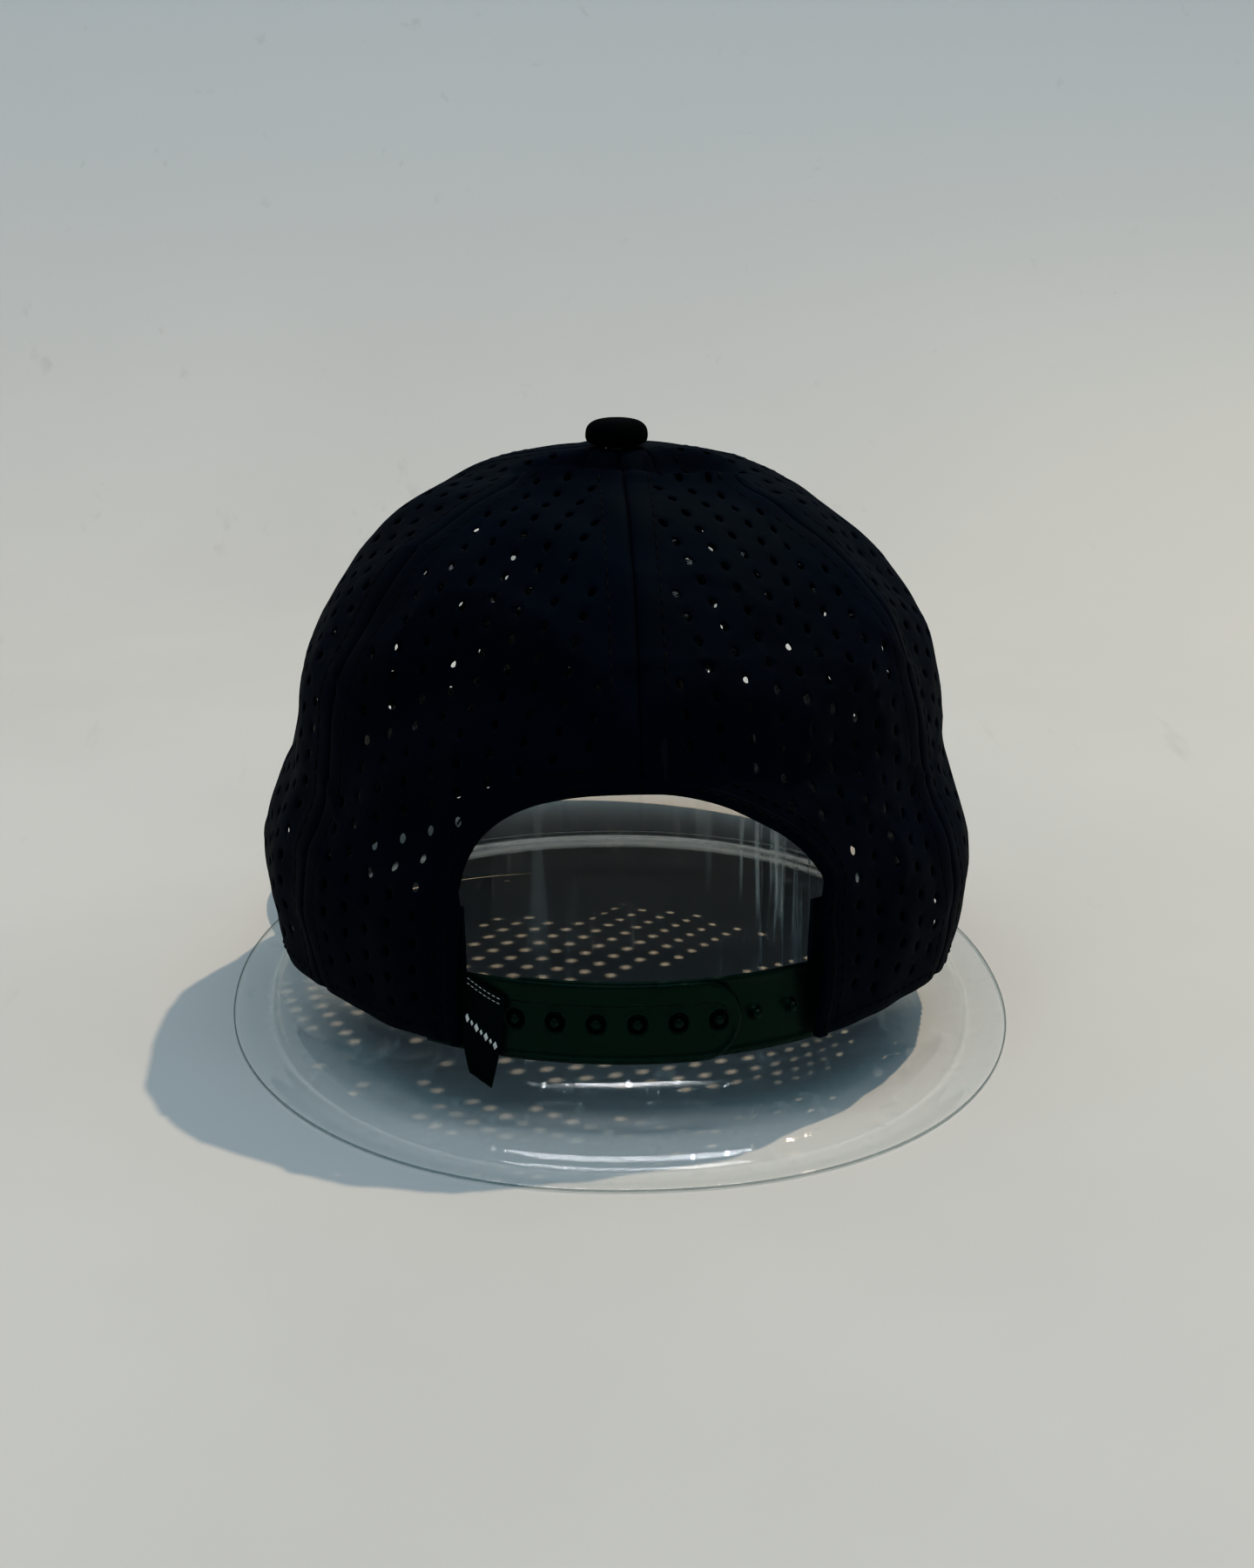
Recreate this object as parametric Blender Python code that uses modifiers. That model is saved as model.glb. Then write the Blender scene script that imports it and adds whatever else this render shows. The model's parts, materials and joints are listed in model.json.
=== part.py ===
"""A six-panel snapback cap resting on its clear display form.

The wearer looks along +Y, so the bill points to +Y and the snap closure is at -Y.  Z is up and the
form stands on Z = 0.  The origin is the centre of the whole object's footprint.  Lengths are in
millimetres until MM turns them into metres.
"""

import math

import bmesh
import bpy
from mathutils import Matrix, Vector

MM = 0.001

# Crown: an elliptical dome, a little fuller just above the band and drawn up to a peak at the button.
HALF_WIDTH = 88.0
HALF_LENGTH = 100.0
BAND_HEIGHT = 18.6
CROWN_HEIGHT = 120.7
HEIGHT_POWER = 0.84
SIDE_POWER = 0.72
FRONT_POWER = 0.62
REAR_POWER = 0.72
BULGE = 0.03
BULGE_HEIGHT = 32.0
BULGE_SPREAD = 20.0
PEAK = 4.0
PEAK_SPREAD = 14.0
TOP_HOLE = 3.6
PANEL_THICKNESS = 1.2
SEAM_GAP = 0.4

# Bill: an arched sheet whose inner edge follows the front of the crown.
BILL_ARCH_RADIUS = 240.0
BILL_START = math.radians(26)
BILL_REACH = 170.0
BILL_HALF_WIDTH = 92.0
BILL_CENTRE = 60.0
BILL_DROOP = math.tan(math.radians(8))
BILL_GAP = 1.4
BILL_LIFT = 4.4
BOARD_THICKNESS = 2.0
COVER_THICKNESS = 0.8
LAYER_GAP = 0.35
BILL_HINGE_Y = 70.0
BILL_HINGE_RISE = 15.4
BILL_CORNER = math.radians(-9)
BILL_EASE = 0.14
BILL_TEMPLE_LAP = 1.2
BOARD_MARGIN = 1.5

# Arched opening at the back, and the snap closure that bridges it.
ARCH_HALF_WIDTH = 41.2
ARCH_SPRING = 37.0
ARCH_TOP = 61.0
ARCH_POWER = 2.35
ARCH_CLEARANCE = 2.4
BINDING_RADIUS = 0.9
STRAP_HEIGHT = 19.3
STRAP_FOOT = -1.2
STRAP_MIDDLE = STRAP_FOOT + STRAP_HEIGHT / 2
SOCKET_DEPTH = 1.9
SOCKET_THICKNESS = 1.6
STUD_DEPTH = 3.8
STUD_THICKNESS = 1.4
STRAP_ROOT = 56.0
STRAP_HINGE = 43.4
PITCH = 9.7
SNAP_START = -30.3
SOCKETS = 6
STUDS = 8
SOCKET_HOLE_RADIUS = 2.45
STUD_BASE_RADIUS = 1.5
STUD_TIP_RADIUS = 0.85
STUD_LENGTH = 2.4
SOCKET_END_MARGIN = 5.8
STUD_END_MARGIN = 6.2
STRAP_ROOT_GAP = 0.5
SOCKET_FOLD_DEPTH = 0.5

# Woven tag at the opening's left edge: a leaf that narrows towards its foot.
TAG_START = 1.2
TAG_TOP = 18.3
TAG_TOP_WIDTH = 10.3
TAG_TOP_FALL = 4.8
TAG_FOOT = -6.2
TAG_FOOT_FROM = 4.1
TAG_FOOT_TO = 7.0
TAG_FOOT_FALL = 0.9
TAG_DEPTH = 0.85
TAG_THICKNESS = 0.5

# Linings inside the crown.
SWEATBAND_DEPTH = 5.6
SWEATBAND_THICKNESS = 1.4
SWEATBAND_HEIGHT = 32.0
BROW_LEAN = 0.1
BROW_START = math.radians(42)
BROW_DEPTH = 3.4
BROW_THICKNESS = 1.8
BROW_HEIGHTS = (1.5, 12.5)
TAPE_HALF_WIDTH = 6.0
TAPE_DEPTH = 1.8
TAPE_THICKNESS = 0.6
TAPE_OVER_BUCKRAM_DEPTH = 3.8
TAPE_OVER_SWEATBAND = 48.0
TAPE_OVER_ARCH = 5.0
BUCKRAM_DEPTH = 2.1
BUCKRAM_THICKNESS = 1.0
BUCKRAM_HEIGHTS = (28.0, 108.0)
LABEL_START = math.radians(66)
LABEL_DEPTH = 5.2
LABEL_THICKNESS = 0.5
LABEL_HEIGHTS = (47.0, 69.0)
CARE_AZIMUTH = math.radians(-158)
CARE_HALF_ANGLE = 0.09
CARE_HEIGHTS = (38.0, 62.0)
CARE_DEPTH = 3.2
CARE_THICKNESS = 0.4

# Button on top: a cloth cover over a metal shell, held by a tack from inside.
BUTTON_RADIUS = 7.8
BUTTON_HEIGHT = 5.6
BUTTON_SKIN = 0.7
BUTTON_AIR = 0.3
BUTTON_LIP = 0.2
BUTTON_SHELL_FOOT = 0.4
BUTTON_ROUNDING = (0.62, 0.8)
TACK_BORE = 1.6
TACK_BORE_HEIGHT = 3.2
TACK_PROFILE = ((0.0, 2.9), (1.1, 2.6), (1.3, 0.0), (1.4, -4.2), (5.6, -4.4), (6.0, -5.0), (0.0, -5.4))

# Clear display form: a thin tapered tub, upside down, with a wide flange.
SHEET = 0.8
FLANGE_HALF_WIDTH = 100.0
FLANGE_HALF_LENGTH = 127.3
WALL_HALF_WIDTH = 77.0
WALL_HALF_LENGTH = 87.0
WALL_TAPER_X = 3.5
WALL_TAPER_Y = 6.0
FOOT_FLARE_X = 13.0
FOOT_FLARE_Y = 30.0
FOOT_RISE = 13.0
WALL_TOP = 85.0
FORM_TOP = 110.0
SHOULDER = 28.0
FORM_POWER = 2.15

# The bill reaches further forward than the flange reaches back, so the crown sits behind the origin.
CROWN_Y = -(BILL_REACH - FLANGE_HALF_LENGTH) / 2

REAR = math.radians(-90)
FRONT = math.radians(90)
SIXTH = math.radians(60)

BLACK_FABRIC = ("panel_fabric", (0.012, 0.013, 0.015), 0.72, 0.0)
BILL_FABRIC = ("bill_fabric", (0.013, 0.014, 0.016), 0.75, 0.0)
LINING = ("lining", (0.02, 0.02, 0.022), 0.9, 0.0)
STIFFENER = ("stiffener", (0.03, 0.03, 0.032), 0.85, 0.0)
SNAP_PLASTIC = ("snap_plastic", (0.010, 0.012, 0.013), 0.35, 0.0)
LABEL_WEAVE = ("label_weave", (0.010, 0.011, 0.012), 0.6, 0.0)
LABEL_WHITE = ("label_white", (0.82, 0.82, 0.80), 0.7, 0.0)
METAL = ("button_metal", (0.70, 0.71, 0.73), 0.3, 1.0)
BILL_CORE = ("bill_core", (0.05, 0.05, 0.055), 0.5, 0.0)
CLEAR_SHEET = ("clear_sheet", (0.92, 0.95, 0.96), 0.06, 0.0)


# ---------------------------------------------------------------- scene helpers


def clear_scene():
    for obj in list(bpy.data.objects):
        bpy.data.objects.remove(obj)


def new_collection(name):
    collection = bpy.data.collections.new(name)
    bpy.context.scene.collection.children.link(collection)
    return collection


def material(recipe):
    name, colour, roughness, metallic = recipe
    found = bpy.data.materials.get(name)
    if found:
        return found
    made = bpy.data.materials.new(name)
    made.use_nodes = True
    shader = made.node_tree.nodes["Principled BSDF"]
    shader.inputs["Base Color"].default_value = (*colour, 1.0)
    shader.inputs["Roughness"].default_value = roughness
    shader.inputs["Metallic"].default_value = metallic
    if recipe is CLEAR_SHEET:
        shader.inputs["Transmission Weight"].default_value = 0.95
    return made


def add_object(name, bm, recipe, collection):
    """A new object from a mesh drawn in millimetres round the crown's axis, set in place and in metres."""
    mesh = bpy.data.meshes.new(name)
    bmesh.ops.transform(
        bm, matrix=Matrix.Scale(MM, 4) @ Matrix.Translation((0, CROWN_Y, 0)), verts=bm.verts
    )
    bm.to_mesh(mesh)
    bm.free()
    mesh.materials.append(material(recipe))
    mesh.shade_smooth()
    mesh.set_sharp_from_angle(angle=math.radians(35))
    obj = bpy.data.objects.new(name, mesh)
    collection.objects.link(obj)
    return obj


def thicken(obj, thickness):
    """Gives an open sheet its thickness, inwards from its outer face."""
    solidify = obj.modifiers.new("thickness", "SOLIDIFY")
    solidify.thickness = thickness * MM
    solidify.offset = -1
    solidify.use_even_offset = True
    return obj


def boolean(obj, other, operation):
    """Cuts or joins by another object, which becomes a helper."""
    modifier = obj.modifiers.new(operation.lower(), "BOOLEAN")
    modifier.operation = operation
    modifier.object = other
    other.hide_render = True
    other.display_type = "WIRE"
    if other.name not in cutters.objects:
        for holder in list(other.users_collection):
            holder.objects.unlink(other)
        cutters.objects.link(other)


def axis_empty(name, point, parent=None):
    """An empty on a joint's axis, at a point given in millimetres round the crown's axis."""
    empty = bpy.data.objects.new(name, None)
    cap.objects.link(empty)
    place = (Vector(point) + Vector((0, CROWN_Y, 0))) * MM
    if parent:
        empty.parent = parent
        place -= parent.matrix_world.translation
    empty.location = place
    bpy.context.view_layer.update()
    return empty


def hang(objects, empty):
    """Parents finished pieces to a joint's empty without moving them."""
    origin = empty.matrix_world.translation
    for obj in objects:
        obj.data.transform(Matrix.Translation(-origin))
        obj.parent = empty


# ---------------------------------------------------------------- the crown's shape


def bill_edge_rise(azimuth):
    """How far the crown's lower edge lifts over the arched bill."""
    if math.sin(azimuth) <= 0:
        return 0.0
    reach = HALF_WIDTH * math.cos(BILL_START)
    across = HALF_WIDTH * math.cos(azimuth)
    return max(0.0, (reach**2 - across**2) / (2 * BILL_ARCH_RADIUS))


def profile_power(azimuth):
    """The dome is boxier over the forehead and rounder at the back."""
    facing = math.sin(azimuth)
    return SIDE_POWER + facing**2 * ((FRONT_POWER if facing > 0 else REAR_POWER) - SIDE_POWER)


def bulge_at(height):
    return BULGE * math.exp(-(((height - BULGE_HEIGHT) / BULGE_SPREAD) ** 2))


def crown_face(azimuth, turn):
    """A point of the crown's outer face. The turn runs from 0 at the band to a right angle at the top."""
    height = CROWN_HEIGHT * math.sin(turn) ** HEIGHT_POWER
    fullness = (bulge_at(height) - bulge_at(0)) * (1 - 0.8 * max(0.0, math.sin(azimuth)) ** 2)
    share = math.cos(turn) ** profile_power(azimuth) * (1 + fullness)
    x = HALF_WIDTH * share * math.cos(azimuth)
    y = HALF_LENGTH * share * math.sin(azimuth)
    peak = PEAK * math.exp(-math.hypot(x, y) / PEAK_SPREAD)
    return Vector((x, y, BAND_HEIGHT + height + peak))


def crown_point(azimuth, turn, depth=0.0):
    """The same point, moved inwards by a depth along the dome's normal."""
    here = crown_face(azimuth, turn)
    if depth == 0:
        return here
    step = 0.004
    turn = min(max(turn, 2 * step), math.pi / 2 - 2 * step)
    around = crown_face(azimuth + step, turn) - crown_face(azimuth - step, turn)
    upward = crown_face(azimuth, turn + step) - crown_face(azimuth, turn - step)
    return here - around.cross(upward).normalized() * depth


def turn_at_height(height):
    """The turn at which the dome is this high above the band."""
    return math.asin(min(1.0, (max(height, 0.0) / CROWN_HEIGHT) ** (1 / HEIGHT_POWER)))


def turn_at_radius(azimuth, radius):
    """The turn near the top at which the dome has this half width."""
    return math.acos((radius / HALF_WIDTH) ** (1 / profile_power(azimuth)))


def mapped_grid(columns, rows, place):
    """A sheet of quads whose corners are place(u, v), both from 0 to 1."""
    bm = bmesh.new()
    bmesh.ops.create_grid(bm, x_segments=columns, y_segments=rows, size=0.5)
    for vert in bm.verts:
        vert.co = place(vert.co.x + 0.5, vert.co.y + 0.5)
    return bm


def crown_patch(
    name, azimuths, depth, thickness, recipe, heights=(None, None), rows=12, columns=8, gap=0.0
):
    """A sheet on the dome between two azimuths. It runs from a lower height to an upper one, or by
    default from the crown's lower edge to the hole at its top."""
    start, end = azimuths
    low, high = heights

    def place(u, v):
        middle = start + (end - start) * u
        edge = bill_edge_rise(middle) if low is None else low
        bottom = turn_at_height(edge)
        top = turn_at_radius(middle, TOP_HOLE) if high is None else turn_at_height(high)
        turn = bottom + (top - bottom) * v
        radius = HALF_WIDTH * math.cos(turn) ** profile_power(middle)
        trim = math.asin(min(0.9, gap / 2 / radius))
        azimuth = start + trim + (end - start - 2 * trim) * u
        return crown_point(azimuth, turn, depth)

    return thicken(add_object(name, mapped_grid(columns, rows, place), recipe, cap), thickness)


def seam_tape(name, seam, depth, low):
    """A strip of constant width under one seam, from a height above the band nearly to the top."""

    def place(u, v):
        bottom = turn_at_height(low)
        top = turn_at_radius(seam, 2.2 * TAPE_HALF_WIDTH)
        turn = bottom + (top - bottom) * v
        spot = crown_face(seam, turn)
        radius = math.hypot(spot.x, spot.y)
        azimuth = seam + (2 * u - 1) * math.asin(TAPE_HALF_WIDTH / radius)
        return crown_point(azimuth, turn, depth)

    thicken(add_object(name, mapped_grid(2, 12, place), LINING, cap), TAPE_THICKNESS)


# ---------------------------------------------------------------- the band's shape


def azimuth_at(arc):
    """The azimuth at an arc length along the band from the middle of the back, to the wearer's right."""
    azimuth = REAR
    steps = 60
    for _ in range(steps):
        speed = math.hypot(HALF_WIDTH * math.sin(azimuth), HALF_LENGTH * math.cos(azimuth))
        azimuth += arc / steps / speed
    return azimuth


def band_point(arc, height, depth):
    """A point on the upright band, inside the crown's lower edge by a depth."""
    azimuth = azimuth_at(arc)
    normal = band_normal(arc)
    spot = Vector((HALF_WIDTH * math.cos(azimuth), HALF_LENGTH * math.sin(azimuth), 0))
    return spot - normal * depth + Vector((0, 0, BAND_HEIGHT + height))


def outward_at(azimuth):
    return Vector((math.cos(azimuth) / HALF_WIDTH, math.sin(azimuth) / HALF_LENGTH, 0)).normalized()


def band_normal(arc):
    return outward_at(azimuth_at(arc))


def strap_plate(name, root, tip, depth, thickness, round_tip=True):
    """A plate round the band from its root to its rounded tip, both arc lengths."""
    sign = 1 if tip > root else -1
    half = STRAP_HEIGHT / 2
    straight = tip - sign * half if round_tip else tip
    stations = [root + (straight - root) * i / 16 for i in range(17)]
    halves = [half] * 17
    if round_tip:
        for i in range(1, 8):
            angle = math.radians(11.5 * i)
            stations.append(straight + sign * half * math.sin(angle))
            halves.append(half * math.cos(angle))
    if sign < 0:
        stations.reverse()
        halves.reverse()
    columns = len(stations) - 1

    def place(u, v):
        i = round(u * columns)
        return band_point(stations[i], STRAP_MIDDLE + (2 * v - 1) * halves[i], depth)

    bm = mapped_grid(columns, 4, place)
    return thicken(add_object(name, bm, SNAP_PLASTIC, cap), thickness)


def peg(name, arc, depth_from, depth_to, radius_from, radius_to):
    """A round peg across the band, from a deeper end outwards."""
    normal = band_normal(arc)
    length = depth_from - depth_to
    middle = band_point(arc, STRAP_MIDDLE, (depth_from + depth_to) / 2)
    bm = bmesh.new()
    bmesh.ops.create_cone(
        bm, cap_ends=True, segments=16, radius1=radius_from, radius2=radius_to, depth=length
    )
    turn = normal.to_track_quat("Z", "Y").to_matrix().to_4x4()
    bmesh.ops.transform(bm, matrix=Matrix.Translation(middle) @ turn, verts=bm.verts)
    return add_object(name, bm, SNAP_PLASTIC, cutters)


# ---------------------------------------------------------------- turned and swept pieces


def turned(name, profile, recipe, base_height):
    """A solid of revolution about the crown's axis. The profile runs from the top down its outer side."""
    bm = bmesh.new()
    verts = [bm.verts.new((radius, 0, base_height + height)) for radius, height in profile]
    for a, b in zip(verts, verts[1:]):
        bm.edges.new((a, b))
    obj = add_object(name, bm, recipe, cap)
    obj.data.transform(Matrix.Translation((0, -CROWN_Y * MM, 0)))
    obj.location = (0, CROWN_Y * MM, 0)
    screw = obj.modifiers.new("turn", "SCREW")
    screw.axis = "Z"
    screw.steps = 20
    screw.render_steps = 20
    screw.use_merge_vertices = True
    screw.merge_threshold = 0.00005
    screw.use_normal_calculate = True
    return obj


def arch_outline(grow):
    """Points (across, height above the band) round the opening's edge, from its left foot to its right."""
    width = ARCH_HALF_WIDTH + grow
    rise = ARCH_TOP - ARCH_SPRING + grow
    points = [(-width, height) for height in (0.0, 14.0, 29.0)]
    for i in range(25):
        angle = math.pi * (1 - i / 24)
        across = math.copysign(abs(math.cos(angle)) ** (2 / ARCH_POWER), math.cos(angle))
        points.append((width * across, ARCH_SPRING + rise * abs(math.sin(angle)) ** (2 / ARCH_POWER)))
    return points + [(width, height) for height in (29.0, 14.0, 0.0)]


def arch_cutter():
    """A prism through the back of the crown."""
    outline = arch_outline(ARCH_CLEARANCE)
    outline[0] = (outline[0][0], -6.0)
    outline[-1] = (outline[-1][0], -6.0)
    bm = bmesh.new()
    verts = [bm.verts.new((x, -HALF_LENGTH - 20, BAND_HEIGHT + z)) for x, z in outline]
    face = bm.faces.new(verts)
    grown = bmesh.ops.extrude_face_region(bm, geom=[face])["geom"]
    moved = [item for item in grown if isinstance(item, bmesh.types.BMVert)]
    bmesh.ops.translate(bm, vec=(0, 70, 0), verts=moved)
    bmesh.ops.recalc_face_normals(bm, faces=bm.faces)
    return add_object("arch_cutter", bm, BLACK_FABRIC, cutters)


def crown_depth_point(across, height, depth):
    """A point on the back of the dome at this height above the band and this far across."""
    turn = turn_at_height(height)
    azimuth = REAR
    for _ in range(30):
        azimuth += (across - crown_face(azimuth, turn).x) / (HALF_WIDTH * 1.2)
    return crown_point(azimuth, turn, depth)


def swept(name, points, radius, recipe):
    """A round cord through points given round the crown's axis."""
    curve = bpy.data.curves.new(name, "CURVE")
    curve.dimensions = "3D"
    curve.bevel_depth = radius * MM
    curve.bevel_resolution = 2
    curve.use_fill_caps = True
    spline = curve.splines.new("POLY")
    spline.points.add(len(points) - 1)
    for spot, point in zip(spline.points, points):
        spot.co = (*((point + Vector((0, CROWN_Y, 0))) * MM), 1.0)
    curve.materials.append(material(recipe))
    obj = bpy.data.objects.new(name, curve)
    cap.objects.link(obj)
    return obj


# ---------------------------------------------------------------- the pieces


def build_panels():
    cutter = arch_cutter()
    names = ("back_right_panel", "side_right_panel", "front_right_panel")
    names += ("front_left_panel", "side_left_panel", "back_left_panel")
    for i, name in enumerate(names):
        azimuths = (REAR + i * SIXTH, REAR + (i + 1) * SIXTH)
        panel = crown_patch(name, azimuths, 0, PANEL_THICKNESS, BLACK_FABRIC, gap=SEAM_GAP, rows=13)
        if name.startswith("back"):
            boolean(panel, cutter, "DIFFERENCE")


def build_linings():
    for side, start in (("right", FRONT - SIXTH), ("left", FRONT)):
        crown_patch(
            f"buckram_{side}", (start, start + SIXTH), BUCKRAM_DEPTH, BUCKRAM_THICKNESS, STIFFENER,
            BUCKRAM_HEIGHTS, rows=9, columns=6, gap=2 * TAPE_HALF_WIDTH + 1,
        )
    seam_tape("seam_tape_back", REAR, TAPE_DEPTH, ARCH_TOP + TAPE_OVER_ARCH)
    seam_tape("seam_tape_front", FRONT, TAPE_OVER_BUCKRAM_DEPTH, TAPE_OVER_SWEATBAND)
    sides = (("back_right", 1), ("front_right", 2), ("front_left", 4), ("back_left", 5))
    for name, number in sides:
        seam = REAR + number * SIXTH
        seam_tape(f"seam_tape_{name}", seam, TAPE_DEPTH, bill_edge_rise(seam) + 1)


def upright_sheet(name, azimuths, depth, thickness, recipe, heights, columns, rows):
    """A sheet round the band between two azimuths. Its foot follows the crown's lower edge, and it leans
    inwards with the forehead."""
    start, end = azimuths
    low, high = heights

    def place(u, v):
        azimuth = start + (end - start) * u
        rise = low + (high - low) * v
        inwards = depth + BROW_LEAN * rise * max(0.0, math.sin(azimuth)) ** 2
        spot = Vector((HALF_WIDTH * math.cos(azimuth), HALF_LENGTH * math.sin(azimuth), BAND_HEIGHT))
        spot.z += bill_edge_rise(azimuth) + rise
        return spot - outward_at(azimuth) * inwards

    thicken(add_object(name, mapped_grid(columns, rows, place), recipe, cap), thickness)


def build_band():
    end = azimuth_at(46.0)
    upright_sheet(
        "sweatband", (end, math.radians(180) - end), SWEATBAND_DEPTH, SWEATBAND_THICKNESS,
        LINING, (0.5, SWEATBAND_HEIGHT), columns=40, rows=3,
    )
    upright_sheet(
        "brow_foam", (BROW_START, math.pi - BROW_START), BROW_DEPTH, BROW_THICKNESS,
        STIFFENER, BROW_HEIGHTS, columns=14, rows=1,
    )
    crown_patch(
        "inner_label", (LABEL_START, math.pi - LABEL_START), LABEL_DEPTH, LABEL_THICKNESS,
        LABEL_WEAVE, LABEL_HEIGHTS, rows=3, columns=6,
    )


def build_binding():
    outline = arch_outline(BINDING_RADIUS)
    points = [crown_depth_point(x, z, PANEL_THICKNESS / 2) for x, z in outline]
    points[0].z = points[-1].z = BAND_HEIGHT + 0.5
    swept("arch_binding", points, BINDING_RADIUS, BILL_FABRIC)


def build_straps():
    """The snap closure. Each half is a sewn root under its panel and a strap that flexes beside it."""
    socket_tip = SNAP_START + (SOCKETS - 1) * PITCH + SOCKET_END_MARGIN
    stud_tip = SNAP_START - STUD_END_MARGIN
    root = STRAP_HINGE + STRAP_ROOT_GAP
    strap_plate("socket_strap_root", -STRAP_ROOT, -root, SOCKET_DEPTH, SOCKET_THICKNESS, False)
    strap_plate("stud_strap_root", root, STRAP_ROOT, STUD_DEPTH, STUD_THICKNESS, False)
    socket = strap_plate("socket_strap", -STRAP_HINGE, socket_tip, SOCKET_DEPTH, SOCKET_THICKNESS)
    for i in range(SOCKETS):
        arc = SNAP_START + i * PITCH
        radius = SOCKET_HOLE_RADIUS
        boolean(socket, peg(f"socket_cutter_{i}", arc, STUD_DEPTH - 0.1, 0.0, radius, radius), "DIFFERENCE")
    studded = strap_plate("stud_strap", STRAP_HINGE, stud_tip, STUD_DEPTH, STUD_THICKNESS)
    foot = STUD_DEPTH + STUD_THICKNESS / 2
    for i in range(STUDS):
        arc = SNAP_START + i * PITCH
        stud = peg(f"stud_{i}", arc, foot, STUD_DEPTH - STUD_LENGTH, STUD_BASE_RADIUS, STUD_TIP_RADIUS)
        boolean(studded, stud, "UNION")
    return socket, studded


def build_tag():
    """The small woven tag sewn into the opening's left edge; it droops over the socket strap."""

    def place(u, v):
        left = TAG_FOOT_FROM * (1 - v) ** 3
        right = TAG_FOOT_TO + (TAG_TOP_WIDTH - TAG_FOOT_TO) * v
        top = TAG_TOP - TAG_TOP_FALL * u
        foot = TAG_FOOT - TAG_FOOT_FALL * u
        arc = -STRAP_HINGE + TAG_START + left + (right - left) * u
        return band_point(arc, foot + (top - foot) * v, TAG_DEPTH)

    return thicken(add_object("tag_label", mapped_grid(5, 6, place), LABEL_WEAVE, cap), TAG_THICKNESS)


def build_care_label():
    """The care label hangs inside from the crown's left side seam, clear of the form."""
    low, high = CARE_HEIGHTS

    def place(u, v):
        azimuth = CARE_AZIMUTH + CARE_HALF_ANGLE * (2 * u - 1)
        return crown_point(azimuth, turn_at_height(low + (high - low) * v), CARE_DEPTH)

    return thicken(add_object("care_label", mapped_grid(2, 4, place), LABEL_WHITE, cap), CARE_THICKNESS)


def button_curve(radius, foot, height, degrees):
    """The button's rounded outline, from the angles given: radius against height."""
    widening, falling = BUTTON_ROUNDING
    angles = [math.radians(a) for a in degrees]
    return [
        (radius * math.sin(a) ** widening, foot + (height - foot) * math.cos(a) ** falling) for a in angles
    ]


def build_button():
    top = BAND_HEIGHT + CROWN_HEIGHT + PEAK + 0.1
    inner_radius = BUTTON_RADIUS - BUTTON_SKIN
    shell_radius = inner_radius - BUTTON_AIR
    shell_height = BUTTON_HEIGHT - BUTTON_SKIN - BUTTON_AIR
    lip = [
        (BUTTON_RADIUS - BUTTON_AIR, -BUTTON_LIP),
        (inner_radius - 0.1, -BUTTON_LIP),
        (inner_radius - 0.05, 3 * BUTTON_LIP),
    ]
    cover = button_curve(BUTTON_RADIUS, 0.0, BUTTON_HEIGHT, range(0, 91, 10)) + lip
    cover += button_curve(inner_radius, 0.0, BUTTON_HEIGHT - BUTTON_SKIN, range(80, -1, -20))
    turned("button_cover", cover, BLACK_FABRIC, top)
    shell = button_curve(shell_radius, BUTTON_SHELL_FOOT, shell_height, range(0, 91, 15))
    shell += [(shell_radius - 0.4, BUTTON_AIR), (TACK_BORE, BUTTON_AIR)]
    shell += [(TACK_BORE, TACK_BORE_HEIGHT), (0.0, TACK_BORE_HEIGHT)]
    turned("button_shell", shell, METAL, top)
    turned("button_tack", TACK_PROFILE, METAL, top)


def bill_height(x, y):
    """The bill's middle surface: arched across, and falling a little towards its tip."""
    reach = HALF_WIDTH * math.cos(BILL_START)
    arch = (reach**2 - x**2) / (2 * BILL_ARCH_RADIUS)
    ahead = max(0.0, y - HALF_LENGTH * math.sin(BILL_START))
    return BAND_HEIGHT + arch - ahead * BILL_DROOP * (ahead / (BILL_REACH - HALF_LENGTH + ahead))


def bill_sheet(name, drop, thickness, recipe, edge):
    """One layer of the bill. The outer edge is an ellipse drawn in to meet the crown at the temples."""
    inner_width, inner_length = HALF_WIDTH + BILL_GAP, HALF_LENGTH + BILL_GAP

    def outer(u):
        angle = BILL_CORNER + (math.pi - 2 * BILL_CORNER) * u
        x = (BILL_HALF_WIDTH + edge) * math.cos(angle)
        y = BILL_CENTRE + (BILL_REACH - BILL_CENTRE + edge) * math.sin(angle)
        near = min(u, 1 - u) / BILL_EASE
        if near < 1:
            ease = 1 - (1 - near) ** 2
            temple = (inner_width + BILL_TEMPLE_LAP) * math.cos(BILL_START)
            x = math.copysign(temple + (abs(x) - temple) * ease, x)
        return x, y

    def place(u, v):
        azimuth = BILL_START + (math.pi - 2 * BILL_START) * u
        ix, iy = inner_width * math.cos(azimuth), inner_length * math.sin(azimuth)
        ox, oy = outer(u)
        x, y = ix + (ox - ix) * v, iy + (oy - iy) * v
        return Vector((x, y, bill_height(x, y) + BILL_LIFT - drop))

    bm = mapped_grid(24, 4, place)
    bmesh.ops.recalc_face_normals(bm, faces=bm.faces)
    if bm.faces[0].normal.z < 0:
        bmesh.ops.reverse_faces(bm, faces=bm.faces)
    return thicken(add_object(name, bm, recipe, cap), thickness)


def build_bill():
    board_drop = COVER_THICKNESS + LAYER_GAP
    under_drop = board_drop + BOARD_THICKNESS + LAYER_GAP
    return [
        bill_sheet("bill_top_cover", 0.0, COVER_THICKNESS, BILL_FABRIC, 0.0),
        bill_sheet("bill_board", board_drop, BOARD_THICKNESS, BILL_CORE, -BOARD_MARGIN),
        bill_sheet("bill_under_cover", under_drop, COVER_THICKNESS, BILL_FABRIC, 0.0),
    ]


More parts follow.
